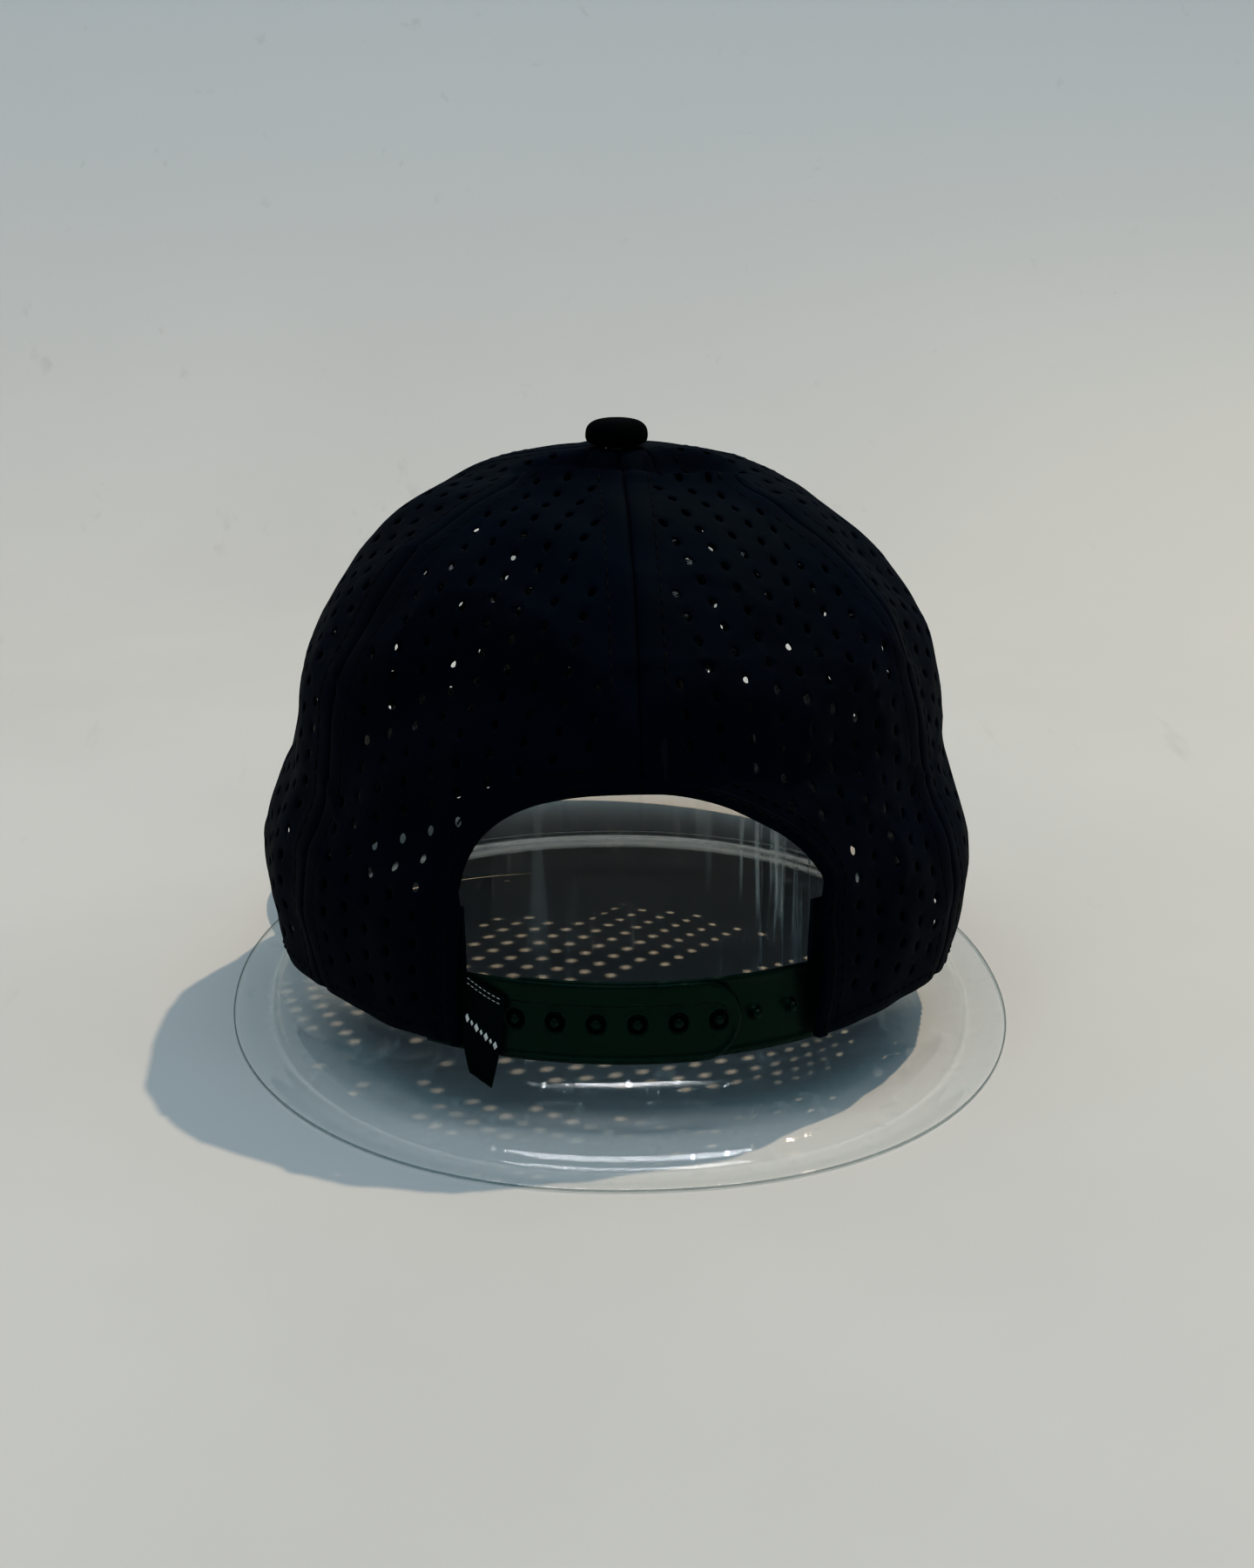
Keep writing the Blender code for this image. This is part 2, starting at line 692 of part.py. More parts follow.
def form_profile():
    """The form's rings from its flange to its top: half width, half length and height."""
    rings = [
        (FLANGE_HALF_WIDTH, FLANGE_HALF_LENGTH, SHEET),
        (FLANGE_HALF_WIDTH - 5, FLANGE_HALF_LENGTH - 9, SHEET),
        (WALL_HALF_WIDTH + FOOT_FLARE_X + 3, WALL_HALF_LENGTH + FOOT_FLARE_Y + 3, SHEET),
    ]
    for angle in (0, 22, 45, 68, 90):
        out = 1 - math.sin(math.radians(angle))
        up = FOOT_RISE * (1 - math.cos(math.radians(angle)))
        rings.append((WALL_HALF_WIDTH + FOOT_FLARE_X * out, WALL_HALF_LENGTH + FOOT_FLARE_Y * out, SHEET + up))
    for share in (0.33, 0.67, 1.0):
        height = SHEET + FOOT_RISE + (WALL_TOP - SHEET - FOOT_RISE) * share
        half_width = WALL_HALF_WIDTH - WALL_TAPER_X * share
        half_length = WALL_HALF_LENGTH - WALL_TAPER_Y * share
        rings.append((half_width, half_length, height))
    top_x, top_y, _ = rings[-1]
    for angle in (22, 42, 60, 76, 90):
        inset = SHOULDER * (1 - math.cos(math.radians(angle)))
        height = WALL_TOP + (FORM_TOP - WALL_TOP) * math.sin(math.radians(angle))
        rings.append((top_x - inset, top_y - inset, height))
    rings.append((20.0, 24.0, FORM_TOP + 0.3))
    return rings


def build_form():
    rings = form_profile()
    bm = bmesh.new()
    line = [bm.verts.new((len(rings) - i, 0, 0)) for i in range(len(rings))] + [bm.verts.new((0, 0, 0))]
    edges = [bm.edges.new(pair) for pair in zip(line, line[1:])]
    bmesh.ops.spin(
        bm, geom=line + edges, cent=(0, 0, 0), axis=(0, 0, 1), angle=2 * math.pi, steps=40, use_merge=True
    )
    bmesh.ops.remove_doubles(bm, verts=bm.verts, dist=0.01)
    for vert in bm.verts:
        ring = len(rings) - round(vert.co.to_2d().length)
        if ring == len(rings):
            vert.co = (0, 0, FORM_TOP + 0.4)
            continue
        half_width, half_length, height = rings[ring]
        angle = math.atan2(vert.co.y, vert.co.x)
        power = 2 / FORM_POWER
        x = math.copysign(abs(math.cos(angle)) ** power, math.cos(angle))
        y = math.copysign(abs(math.sin(angle)) ** power, math.sin(angle))
        vert.co = (half_width * x, half_length * y, height)
    bmesh.ops.recalc_face_normals(bm, faces=bm.faces)
    if max(bm.faces, key=lambda face: face.calc_center_median().z).normal.z < 0:
        bmesh.ops.reverse_faces(bm, faces=bm.faces)
    return thicken(add_object("clear_form", bm, CLEAR_SHEET, form), SHEET)


# ---------------------------------------------------------------- the assembly


clear_scene()
cap = new_collection("snapback_cap")
form = new_collection("display_form")
cutters = new_collection("cutters")
cutters.hide_render = True

build_form()
build_panels()
build_linings()
build_band()
build_binding()
build_button()
bill = build_bill()
socket_strap, stud_strap = build_straps()
tag = build_tag()
care_label = build_care_label()

socket_fold = band_point(-STRAP_HINGE, STRAP_MIDDLE, SOCKET_FOLD_DEPTH)
stud_fold = band_point(STRAP_HINGE, STRAP_MIDDLE, STUD_DEPTH + STUD_THICKNESS)
tag_seam = band_point(-STRAP_HINGE + TAG_START, STRAP_MIDDLE, TAG_DEPTH)
care_seam = crown_point(CARE_AZIMUTH, turn_at_height(CARE_HEIGHTS[1]), CARE_DEPTH)
socket_axis = axis_empty("socket_strap_axis", socket_fold)
stud_axis = axis_empty("stud_strap_axis", stud_fold)
tag_axis = axis_empty("tag_label_axis", tag_seam, socket_axis)
care_axis = axis_empty("care_label_axis", care_seam)
bill_axis = axis_empty("bill_axis", (0, BILL_HINGE_Y, BAND_HEIGHT + BILL_HINGE_RISE))
hang([socket_strap], socket_axis)
hang([stud_strap], stud_axis)
hang([tag], tag_axis)
hang([care_label], care_axis)
hang(bill, bill_axis)
for helper in list(cutters.objects):
    helper.hide_render = True
    helper.display_type = "WIRE"
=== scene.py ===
"""The looks of a perforated snapback cap on its clear display form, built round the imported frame.

Shapes are worked out in millimetres round the crown's own upright axis, with the wearer looking
along +Y, and moved into the frame (metres) when each piece is made.
"""

import json
import math

import bpy
import numpy as np
from mathutils import Matrix, Vector
from mathutils.geometry import delaunay_2d_cdt

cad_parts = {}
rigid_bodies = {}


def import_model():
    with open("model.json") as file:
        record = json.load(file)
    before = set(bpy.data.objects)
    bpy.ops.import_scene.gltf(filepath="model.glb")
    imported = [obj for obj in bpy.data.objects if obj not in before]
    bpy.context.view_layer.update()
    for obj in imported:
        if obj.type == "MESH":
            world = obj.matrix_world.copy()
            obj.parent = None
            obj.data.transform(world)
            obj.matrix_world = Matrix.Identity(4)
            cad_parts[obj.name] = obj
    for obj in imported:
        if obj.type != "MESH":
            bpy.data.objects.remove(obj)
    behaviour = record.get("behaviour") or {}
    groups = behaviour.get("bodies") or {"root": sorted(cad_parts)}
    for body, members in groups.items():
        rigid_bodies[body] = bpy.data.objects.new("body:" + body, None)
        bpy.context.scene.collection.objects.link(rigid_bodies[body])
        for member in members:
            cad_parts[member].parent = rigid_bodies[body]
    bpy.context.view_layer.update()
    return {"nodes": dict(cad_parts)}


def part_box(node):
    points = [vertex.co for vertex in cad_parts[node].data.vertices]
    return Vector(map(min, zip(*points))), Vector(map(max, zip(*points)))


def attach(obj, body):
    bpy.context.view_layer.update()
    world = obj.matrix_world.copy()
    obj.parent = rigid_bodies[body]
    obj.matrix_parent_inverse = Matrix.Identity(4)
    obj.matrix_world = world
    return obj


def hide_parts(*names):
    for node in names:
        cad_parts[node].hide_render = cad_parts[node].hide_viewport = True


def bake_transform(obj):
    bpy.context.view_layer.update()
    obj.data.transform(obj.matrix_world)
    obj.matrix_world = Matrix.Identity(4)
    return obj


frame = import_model()

MM = 0.001
RIGHT_ANGLE = math.pi / 2
REAR = math.radians(-90)
FRONT = math.radians(90)
SIXTH = math.radians(60)


def frame_box(node):
    """A CAD node's lowest and highest corners in millimetres."""
    low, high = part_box(node)
    return low / MM, high / MM


# Places read from the frame.
BUTTON_LOW, BUTTON_HIGH = frame_box("button_cover")
AXIS_X = (BUTTON_LOW.x + BUTTON_HIGH.x) / 2
AXIS_Y = (BUTTON_LOW.y + BUTTON_HIGH.y) / 2
BUTTON_RADIUS = (BUTTON_HIGH.x - BUTTON_LOW.x) / 2
BAND_Z = frame_box("side_left_panel")[0].z
STRAP_LOW, STRAP_HIGH = frame_box("socket_strap")
STRAP_HEIGHT = STRAP_HIGH.z - STRAP_LOW.z
STRAP_FOOT = STRAP_LOW.z - BAND_Z
FORM_LOW, FORM_HIGH = frame_box("clear_form")
BILL_TIP_Y = frame_box("bill_top_cover")[1].y

# The crown's dome, as in the CAD part.
HALF_WIDTH = 88.0
HALF_LENGTH = 100.0
CROWN_HEIGHT = 120.7
HEIGHT_POWER = 0.84
SIDE_POWER = 0.72
FRONT_POWER = 0.62
REAR_POWER = 0.72
BULGE = 0.03
BULGE_HEIGHT = 32.0
BULGE_SPREAD = 20.0
PEAK = 4.0
PEAK_SPREAD = 14.0
TOP_HOLE = 3.6
FABRIC = 0.5

# The fabric's relief in millimetres, as (height, centre, spread): up the wall, down from the ledge over
# the rear opening, and back from the lip of the hollow behind the button.
DRAPE = ((2.0, 78, 19), (-1.9, 49, 12), (1.0, 17, 11), (-1.2, 0, 5))
VALLEY = ((1.1, -9, 6), (-2.5, 7, 6.5), (1.0, 22, 7))
LIP = ((2.3, 0.1, 2.2), (0.9, 5, 5.0))
LIP_DISTANCE = 26.5
LIP_CURVE = 0.015
HOLLOW_DEPTH = 6.6

# The crown's inner layers: depths under its outer face, and heights above the band.
BUCKRAM_DEPTH = 0.85
BUCKRAM_HEIGHTS = (28.0, 108.0)
BUCKRAM_SEAM_GAP = 6.6
TAPE_DEPTH = 1.75
FRONT_TAPE_DEPTH = 3.4
FRONT_TAPE_FOOT = 48.0
SWEATBAND_DEPTH = 5.6
SWEATBAND_INNER_DEPTH = 7.0
SWEATBAND_HEIGHT = 32.0
SWEATBAND_REACH = 46.0
INNER_LABEL_SPAN = (math.radians(66), math.radians(114))
INNER_LABEL_HEIGHTS = (47.0, 69.0)
INNER_LABEL_DEPTH = 5.0
CARE_LABEL_SPAN = (math.radians(-158) - 0.09, math.radians(-158) + 0.09)
CARE_LABEL_HEIGHTS = (38.0, 62.0)
CARE_LABEL_DEPTH = 3.2

# Perforations: upright ovals in a staggered pattern.
HOLE_HALF_WIDTH = 0.84
HOLE_HALF_HEIGHT = 1.22
FRONT_HOLE_SCALE = (1.34, 0.86)
HOLE_ACROSS = 7.6
HOLE_UP = 6.5
HOLE_SEAM_CLEARANCE = 7.8
HOLE_EDGE_CLEARANCE = 5.0
HOLE_RIM = (0.38, 0.42)
HOLE_DIP = 0.34
BUCKRAM_HOLE_GROWTH = 0.6

# Stitching.
SEAM_ROW = 6.0
SEAM_TRIM = 0.06
# Distances from a seam at which a panel has rows of points, and where its plain cloth starts.
SEAM_LINES = (0.5, 1.2, 2.4, 5.3, SEAM_ROW, 6.8, 8.2)
SEAM_ZONE = 8.9
CLOTH_SPACING = 2.3
STITCH = 2.7
STITCH_GAP = 0.9
THREAD = 0.21
# One stitch from end to end, as (share of its length, rise and width in thread radii).
STITCH_SHAPE = ((0.0, -0.9, 0.5), (0.14, 0.35, 0.95), (0.5, 0.75, 1.05), (0.86, 0.35, 0.95), (1.0, -0.9, 0.5))
STITCH_SAMPLE = 0.3
HEM_ROW = 3.2
HEM_TURN = 0.5
TOPSTITCH_END = 13.5
TAPE_END = 13.2

# The button: how far its cover tucks under it, and its widest level as a share of its height.
BUTTON_SINK = 0.9
BUTTON_WAIST = 0.42

# The rear opening and its binding.
ARCH_HALF_WIDTH = 41.2
ARCH_SPRING = 37.0
ARCH_TOP = 61.0
ARCH_POWER = 2.35
ARCH_SAG = 4.5

# The snap closure.
SOCKET_DEPTH = 1.9
SOCKET_THICKNESS = 1.6
STUD_DEPTH = 3.8
STUD_THICKNESS = 1.4
STRAP_ROOT = 56.0
STRAP_HINGE = 43.4
PITCH = 9.7
SNAP_START = -30.3
SOCKETS = 6
STUDS = 8
SOCKET_HOLE = 2.45
SOCKET_TIP = SNAP_START + (SOCKETS - 1) * PITCH + 5.8
STUD_TIP = SNAP_START - 6.2
TAG_START = 1.2
TAG_TOP = 18.3
TAG_FOOT = -6.2
LADDER_STITCH = {"stitch": 0.9, "gap": 0.3, "thread": 0.07}
# A stud from its foot to its tip, as (radius, height) pairs.
STUD_PROFILE = (
    (2.1, 0.0), (1.75, 0.25), (1.45, 0.6), (1.25, 1.3), (1.2, 1.75), (1.15, 2.1), (0.85, 2.38), (0.4, 2.5)
)

# The bill.
BILL_START = math.radians(26)
BILL_ARCH_RADIUS = 240.0
BILL_GAP = 1.4
BILL_REACH = BILL_TIP_Y - AXIS_Y
BILL_HALF_WIDTH = 92.0
BILL_CENTRE = 60.0
BILL_WRAP = math.radians(9)
BILL_DROOP = math.tan(math.radians(8))
BILL_LIFT = 4.4
BILL_THICKNESS = 4.3
BILL_ROWS = (3.2, 11.4, 19.6, 27.8, 36.0, 44.2)
BILL_EDGE_ROUND = 1.6
BILL_COVER = 0.5
BILL_JOINT_GAP = BILL_GAP + 0.2
BOARD_EDGE_GAP = 3.5
BOARD_THICKNESS = 1.8


# ---------------------------------------------------------------- small numeric tools


def smooth(edge0, edge1, value):
    """A smooth step from 0 at edge0 to 1 at edge1."""
    t = np.clip((value - edge0) / (edge1 - edge0), 0, 1)
    return t * t * (3 - 2 * t)


def hump(value, centre, spread):
    return np.exp(-(((value - centre) / spread) ** 2))


def humps(value, table):
    """The sum of several humps, each given as (height, centre, spread)."""
    return sum(rise * hump(value, centre, spread) for rise, centre, spread in table)


def ripples(points, seed, shortest, longest, count=26):
    """Smooth random relief of about unit size: a sum of waves of wavelengths between the two given."""
    rng = np.random.default_rng(seed)
    total = np.zeros(points.shape[:-1])
    for _ in range(count):
        direction = rng.normal(size=3)
        direction /= np.linalg.norm(direction)
        wavelength = math.exp(rng.uniform(math.log(shortest), math.log(longest)))
        phase = rng.uniform(0, 2 * math.pi)
        total += np.sin(points @ direction * (2 * math.pi / wavelength) + phase)
    return total / math.sqrt(count / 2)


def unit(vectors):
    return vectors / np.maximum(np.linalg.norm(vectors, axis=-1, keepdims=True), 1e-9)


# ---------------------------------------------------------------- the crown's shape


def bill_edge_rise(azimuth):
    """How far the crown's lower edge lifts over the arched bill."""
    reach = HALF_WIDTH * math.cos(BILL_START)
    rise = (reach**2 - (HALF_WIDTH * np.cos(azimuth)) ** 2) / (2 * BILL_ARCH_RADIUS)
    return np.where(np.sin(azimuth) > 0, np.maximum(rise, 0), 0)


def profile_power(azimuth):
    facing = np.sin(azimuth)
    return SIDE_POWER + facing**2 * (np.where(facing > 0, FRONT_POWER, REAR_POWER) - SIDE_POWER)


def bulge_at(height):
    return BULGE * hump(height, BULGE_HEIGHT, BULGE_SPREAD)


def plain_face(azimuth, turn):
    """The dome's outer face, before the fabric's folds."""
    height = CROWN_HEIGHT * np.sin(turn) ** HEIGHT_POWER
    fullness = (bulge_at(height) - bulge_at(0)) * (1 - 0.8 * np.maximum(0, np.sin(azimuth)) ** 2)
    share = np.maximum(np.cos(turn), 1e-6) ** profile_power(azimuth) * (1 + fullness)
    x = HALF_WIDTH * share * np.cos(azimuth)
    y = HALF_LENGTH * share * np.sin(azimuth)
    peak = PEAK * np.exp(-np.hypot(x, y) / PEAK_SPREAD)
    return np.stack([x, y, BAND_Z + height + peak], -1)


def plain_normal(azimuth, turn):
    step = 0.004
    turn = np.clip(turn, 2 * step, RIGHT_ANGLE - 2 * step)
    around = plain_face(azimuth + step, turn) - plain_face(azimuth - step, turn)
    upward = plain_face(azimuth, turn + step) - plain_face(azimuth, turn - step)
    return unit(np.cross(around, upward))


def folds(azimuth, face):
    """How far the fabric stands out from the plain dome, in millimetres."""
    x, y, z = face[..., 0], face[..., 1], face[..., 2]
    height = z - BAND_Z
    rear = smooth(0.25, 0.75, -np.sin(azimuth))
    soft = 1 - 0.75 * smooth(0.3, 0.7, np.sin(azimuth))
    # The cloth lies over the form's shoulder, falls in below it and fills out again above the hem.
    drape = humps(height, DRAPE)
    slack = 0.60 * ripples(face, 11, 26, 70) + 0.20 * ripples(face, 12, 10, 24)
    # Long diagonal creases that die out towards the top and the hem.
    lines = ripples(face * np.array([1.0, 1.0, 1.5]), 13, 34, 80)
    zone = smooth(8, 30, height) * (1 - smooth(96, 116, height))
    creases = 0.75 * np.exp(-((lines / 0.16) ** 2)) * zone
    # Above the rear opening the cloth hangs in a valley under a soft ledge, arched on the wearer's left.
    left_ledge = 88 - 0.019 * (x + 32) ** 2
    right_ledge = 72 + 3 * np.sin(x / 9)
    ledge = np.where(x < -4, left_ledge, right_ledge)
    below = ledge - height
    span = smooth(-70, -60, x) * smooth(62, 48, x) * (1 - 0.85 * hump(x, -3, 6))
    valley = rear * span * humps(below, VALLEY)
    # The top has caved in behind the button: a hollow with a sharp raised lip along its rear.
    radius = np.hypot(x, y)
    past_lip = -y - LIP_DISTANCE + LIP_CURVE * (x - 3) ** 2
    caved = smooth(30, 21, np.abs(x - 2)) * smooth(0, 6, -y)
    hollow = smooth(-0.3, -3.0, past_lip) * smooth(7.6, 13.5, radius)
    cave = caved * (-HOLLOW_DEPTH * hollow + humps(past_lip, LIP))
    out = drape * soft + slack * soft + creases * soft * (0.4 + 0.6 * rear) + valley + cave
    return out * smooth(6.5, 12, radius)


def crown(azimuth, turn, depth=0.0):
    """Points on the folded cloth, moved inwards by a depth, and the dome's outward directions there."""
    azimuth, turn = np.broadcast_arrays(np.asarray(azimuth, float), np.asarray(turn, float))
    face = plain_face(azimuth, turn)
    outward = plain_normal(azimuth, turn)
    out = folds(azimuth, face) - np.asarray(depth)
    return face + outward * out[..., None], outward


def turn_at_height(height):
    share = np.clip(np.asarray(height, float), 0, CROWN_HEIGHT) / CROWN_HEIGHT
    return np.arcsin(share ** (1 / HEIGHT_POWER))


def turn_at_radius(azimuth, radius):
    return np.arccos((radius / HALF_WIDTH) ** (1 / profile_power(azimuth)))


# ---------------------------------------------------------------- the band's shape


ARC_TABLE = REAR + np.linspace(-2.2, 2.2, 1201)
ARC_SPEED = np.hypot(HALF_WIDTH * np.sin(ARC_TABLE), HALF_LENGTH * np.cos(ARC_TABLE))
ARC_LENGTH = np.concatenate([[0], np.cumsum((ARC_SPEED[1:] + ARC_SPEED[:-1]) / 2 * np.diff(ARC_TABLE))])
ARC_LENGTH -= np.interp(REAR, ARC_TABLE, ARC_LENGTH)


def azimuth_at(arc):
    """The azimuth at an arc length along the band from the middle of the back, to the wearer's right."""
    return np.interp(arc, ARC_LENGTH, ARC_TABLE)


def band(arc, height, depth):
    """Points on the upright band round the head's opening, and its outward directions."""
    azimuth = azimuth_at(arc)
    across, ahead, level = np.cos(azimuth), np.sin(azimuth), np.zeros_like(azimuth)
    outward = unit(np.stack([across / HALF_WIDTH, ahead / HALF_LENGTH, level], -1))
    spot = np.stack([HALF_WIDTH * across, HALF_LENGTH * ahead, BAND_Z + height + level], -1)
    return spot - outward * np.asarray(depth)[..., None], outward


# ---------------------------------------------------------------- making pieces


def place(points):
    """From millimetres round the crown's axis to metres in the frame."""
    return (np.asarray(points, float).reshape(-1, 3) + (AXIS_X, AXIS_Y, 0.0)) * MM


def piece(name, points, faces, material, uv=None, sharp=50.0):
    """A mesh object. Its uv, if given, is the cloth's own plane in millimetres."""
    label = f"{name}_detail" if name in frame["nodes"] else name
    mesh = bpy.data.meshes.new(label)
    mesh.from_pydata(place(points).tolist(), [], [list(face) for face in faces])
    if uv is not None:
        uv = np.asarray(uv, float).reshape(-1, 2)
        corners = np.empty(len(mesh.loops), int)
        mesh.loops.foreach_get("vertex_index", corners)
        mesh.uv_layers.new(name="cloth").data.foreach_set("uv", uv[corners].ravel())
    mesh.materials.append(material)
    mesh.shade_smooth()
    mesh.set_sharp_from_angle(angle=math.radians(sharp))
    mesh.update()
    obj = bpy.data.objects.new(label, mesh)
    bpy.context.scene.collection.objects.link(obj)
    return obj


def settle(obj, body, *nodes):
    """Puts a finished piece on its body, in place of CAD nodes if any are named."""
    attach(obj, body)
    if nodes:
        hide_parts(*nodes)
    return obj


def thicken(obj, thickness, offset=-1.0):
    solidify = obj.modifiers.new("thickness", "SOLIDIFY")
    solidify.thickness = thickness * MM
    solidify.offset = offset
    return obj


def run_lengths(path):
    """The distance along a line of points, from its first point to each."""
    return np.concatenate([[0], np.cumsum(np.linalg.norm(np.diff(path, axis=0), axis=1))])


def end_faces(count, rings):
    """The flat ends of a tube of rings with so many points each."""
    first = tuple(range(count - 1, -1, -1))
    return [first, tuple((rings - 1) * count + i for i in range(count))]


def tip_faces(base, count, tip):
    """Triangles from the ring that starts at a point number to a single point."""
    return [(base + i, base + (i + 1) % count, tip) for i in range(count)]


def grid_faces(columns, rows, wrap=False):
    """Quads of a grid of points stored row by row, columns + 1 to a row (columns if it wraps)."""
    width = columns if wrap else columns + 1
    faces = []
    for j in range(rows):
        for i in range(columns):
            right = (i + 1) % width
            faces.append((j * width + i, j * width + right, (j + 1) * width + right, (j + 1) * width + i))
    return faces


def grid(columns, rows):
    """The parameters u and v of a grid, each from 0 to 1, row by row."""
    v, u = np.meshgrid(np.linspace(0, 1, rows + 1), np.linspace(0, 1, columns + 1), indexing="ij")
    return u.ravel(), v.ravel()


def sweep(name, path, outward, section, material, closed=False):
    """A closed section, as (sideways, outward) pairs, carried along a path, with flat ends."""
    path, outward = np.asarray(path), np.asarray(outward)
    forward = unit(np.gradient(path, axis=0))
    side = unit(np.cross(forward, outward))
    outward = unit(np.cross(side, forward))
    section = np.asarray(section)
    count = len(section)
    points = path[:, None] + side[:, None] * section[None, :, :1] + outward[:, None] * section[None, :, 1:]
    faces = grid_faces(count, len(path) - 1, wrap=True)
    if not closed:
        faces += end_faces(count, len(path))
    uv = np.stack(np.broadcast_arrays(run_lengths(section)[None, :], run_lengths(path)[:, None]), -1)
    return piece(name, points, faces, material, uv=uv, sharp=60)


def rounded_section(width, height, corner=0.45, steps=4):
    """A rounded rectangle about the origin, as (sideways, outward) pairs."""
    points = []
    for cx, cy, start in ((1, 1, 0), (-1, 1, 90), (-1, -1, 180), (1, -1, 270)):
        for i in range(steps + 1):
            angle = math.radians(start + 90 * i / steps)
            x = cx * (width / 2 - corner) + corner * math.cos(angle)
            y = cy * (height / 2 - corner) + corner * math.sin(angle)
            points.append((x, y))
    return points


def resample(path, outward, spacing):
    """The path at even distances, with its outward directions."""
    length = run_lengths(path)
    stations = np.arange(0, length[-1], spacing)
    where = np.stack([np.interp(stations, length, path[:, k]) for k in range(3)], -1)
    facing = unit(np.stack([np.interp(stations, length, outward[:, k]) for k in range(3)], -1))
    return where, facing


def stitch_rows(name, rows, material, slot, stitch=STITCH, gap=STITCH_GAP, thread=THREAD):
    """Running stitches along paths that lie on the cloth. Each row is (path, outward directions)."""
    sides = 6
    points, faces = [], []
    for path, outward in rows:
        fine, facing = resample(np.asarray(path), np.asarray(outward), STITCH_SAMPLE)
        span = max(2, round(stitch / STITCH_SAMPLE))
        hop = span + max(1, round(gap / STITCH_SAMPLE))
        for start in range(0, len(fine) - span, hop):
            a, b = fine[start], fine[start + span]
            up = facing[start + span // 2]
            along = unit(b - a)
            side = unit(np.cross(along, up))
            up = np.cross(side, along)
            base = len(points)
            for share, rise, width in STITCH_SHAPE:
                centre = a + (b - a) * share + up * rise * thread
                for k in range(sides):
                    angle = 2 * math.pi * k / sides
                    ring = side * math.cos(angle) * 1.15 + up * math.sin(angle)
                    points.append(centre + ring * thread * width)
            tube = grid_faces(sides, len(STITCH_SHAPE) - 1, wrap=True) + end_faces(sides, len(STITCH_SHAPE))
            faces += [tuple(base + k for k in face) for face in tube]
    return piece(name, points, faces, material, sharp=80)


def stitched(name, rows, body, slot, material=None, **sizes):
    """Rows of running stitches as one piece on its body, in black thread unless another is named."""
    return settle(stitch_rows(name, rows, material or THREAD_BLACK, slot, **sizes), body)


# ---------------------------------------------------------------- cut sheets


def inside(points, loop):
    """Which points lie inside a closed loop."""
    x, y = points[:, :1], points[:, 1:]
    ax, ay = loop[:, 0], loop[:, 1]
    bx, by = np.roll(ax, -1), np.roll(ay, -1)
    crosses = (ay > y) != (by > y)
    slope = np.where(by == ay, 1, by - ay)
    at = ax + (y - ay) * (bx - ax) / slope
    return (crosses & (x < at)).sum(1) % 2 == 1


def edge_distance(points, loop):
    """Each point's distance from a closed loop."""
    a, b = loop, np.roll(loop, -1, axis=0)
    run = b - a
    square = np.maximum((run**2).sum(1), 1e-12)
    best = np.full(len(points), 1e9)
    for start, step, size in zip(a, run, square):
        t = np.clip(((points - start) @ step) / size, 0, 1)
        best = np.minimum(best, np.linalg.norm(points - start - t[:, None] * step, axis=1))
    return best


def ellipse_loop(centre, half_width, half_height, count=10):
    angles = 2 * np.pi * np.arange(count) / count
    return np.asarray(centre) + np.stack([half_width * np.cos(angles), half_height * np.sin(angles)], -1)


def cut_sheet(outline, holes, extra):
    """Triangulates an outline with holes and extra inner points. Returns the points, the faces, and for
    each point the number of the hole whose edge it is on, or -1."""
    points = [tuple(p) for p in outline]
    edges = [(i, (i + 1) % len(outline)) for i in range(len(outline))]
    owner = [-1] * len(points)
    for number, hole in enumerate(holes):
        base = len(points)
        points += [tuple(p) for p in hole]
        edges += [(base + i, base + (i + 1) % len(hole)) for i in range(len(hole))]
        owner += [number] * len(hole)
    points += [tuple(p) for p in extra]
    owner += [-1] * len(extra)
    made = delaunay_2d_cdt([Vector(p) for p in points], edges, [], 1, 1e-5, True)
    verts, _, faces, origins = made[:4]
    owners = np.array([owner[origin[0]] if origin else -1 for origin in origins])
    flat = np.array([tuple(v) for v in verts])
    faces = np.array([tuple(face) for face in faces])
    numbers = owners[faces]
    cloth_side = (numbers[:, 0] < 0) | (numbers != numbers[:, :1]).any(1)
    cloth_side &= inside(flat[faces].mean(1), np.asarray(outline))
    return flat, [tuple(face) for face in faces[cloth_side].tolist()], owners


def spaced(outline, holes, candidates, edge_gap, hole_gap):
    """Candidates that are inside the outline and clear of its edge and of the holes."""
    keep = inside(candidates, outline)
    candidates = candidates[keep]
    candidates = candidates[edge_distance(candidates, outline) > edge_gap]
    if len(holes):
        centres = np.array([hole.mean(0) for hole in holes])
        gap = np.linalg.norm(candidates[:, None] - centres[None], axis=2).min(1)
        candidates = candidates[gap > hole_gap]
    return candidates


def hex_points(low, high, pitch):
    """A staggered grid of points over a box."""
    rows = []
    for j, y in enumerate(np.arange(low[1], high[1], pitch * 0.87)):
        x = np.arange(low[0] + (j % 2) * pitch * 0.5, high[0], pitch)
        rows.append(np.stack([x, np.full_like(x, y)], -1))
    return np.concatenate(rows)


# ---------------------------------------------------------------- crown panels


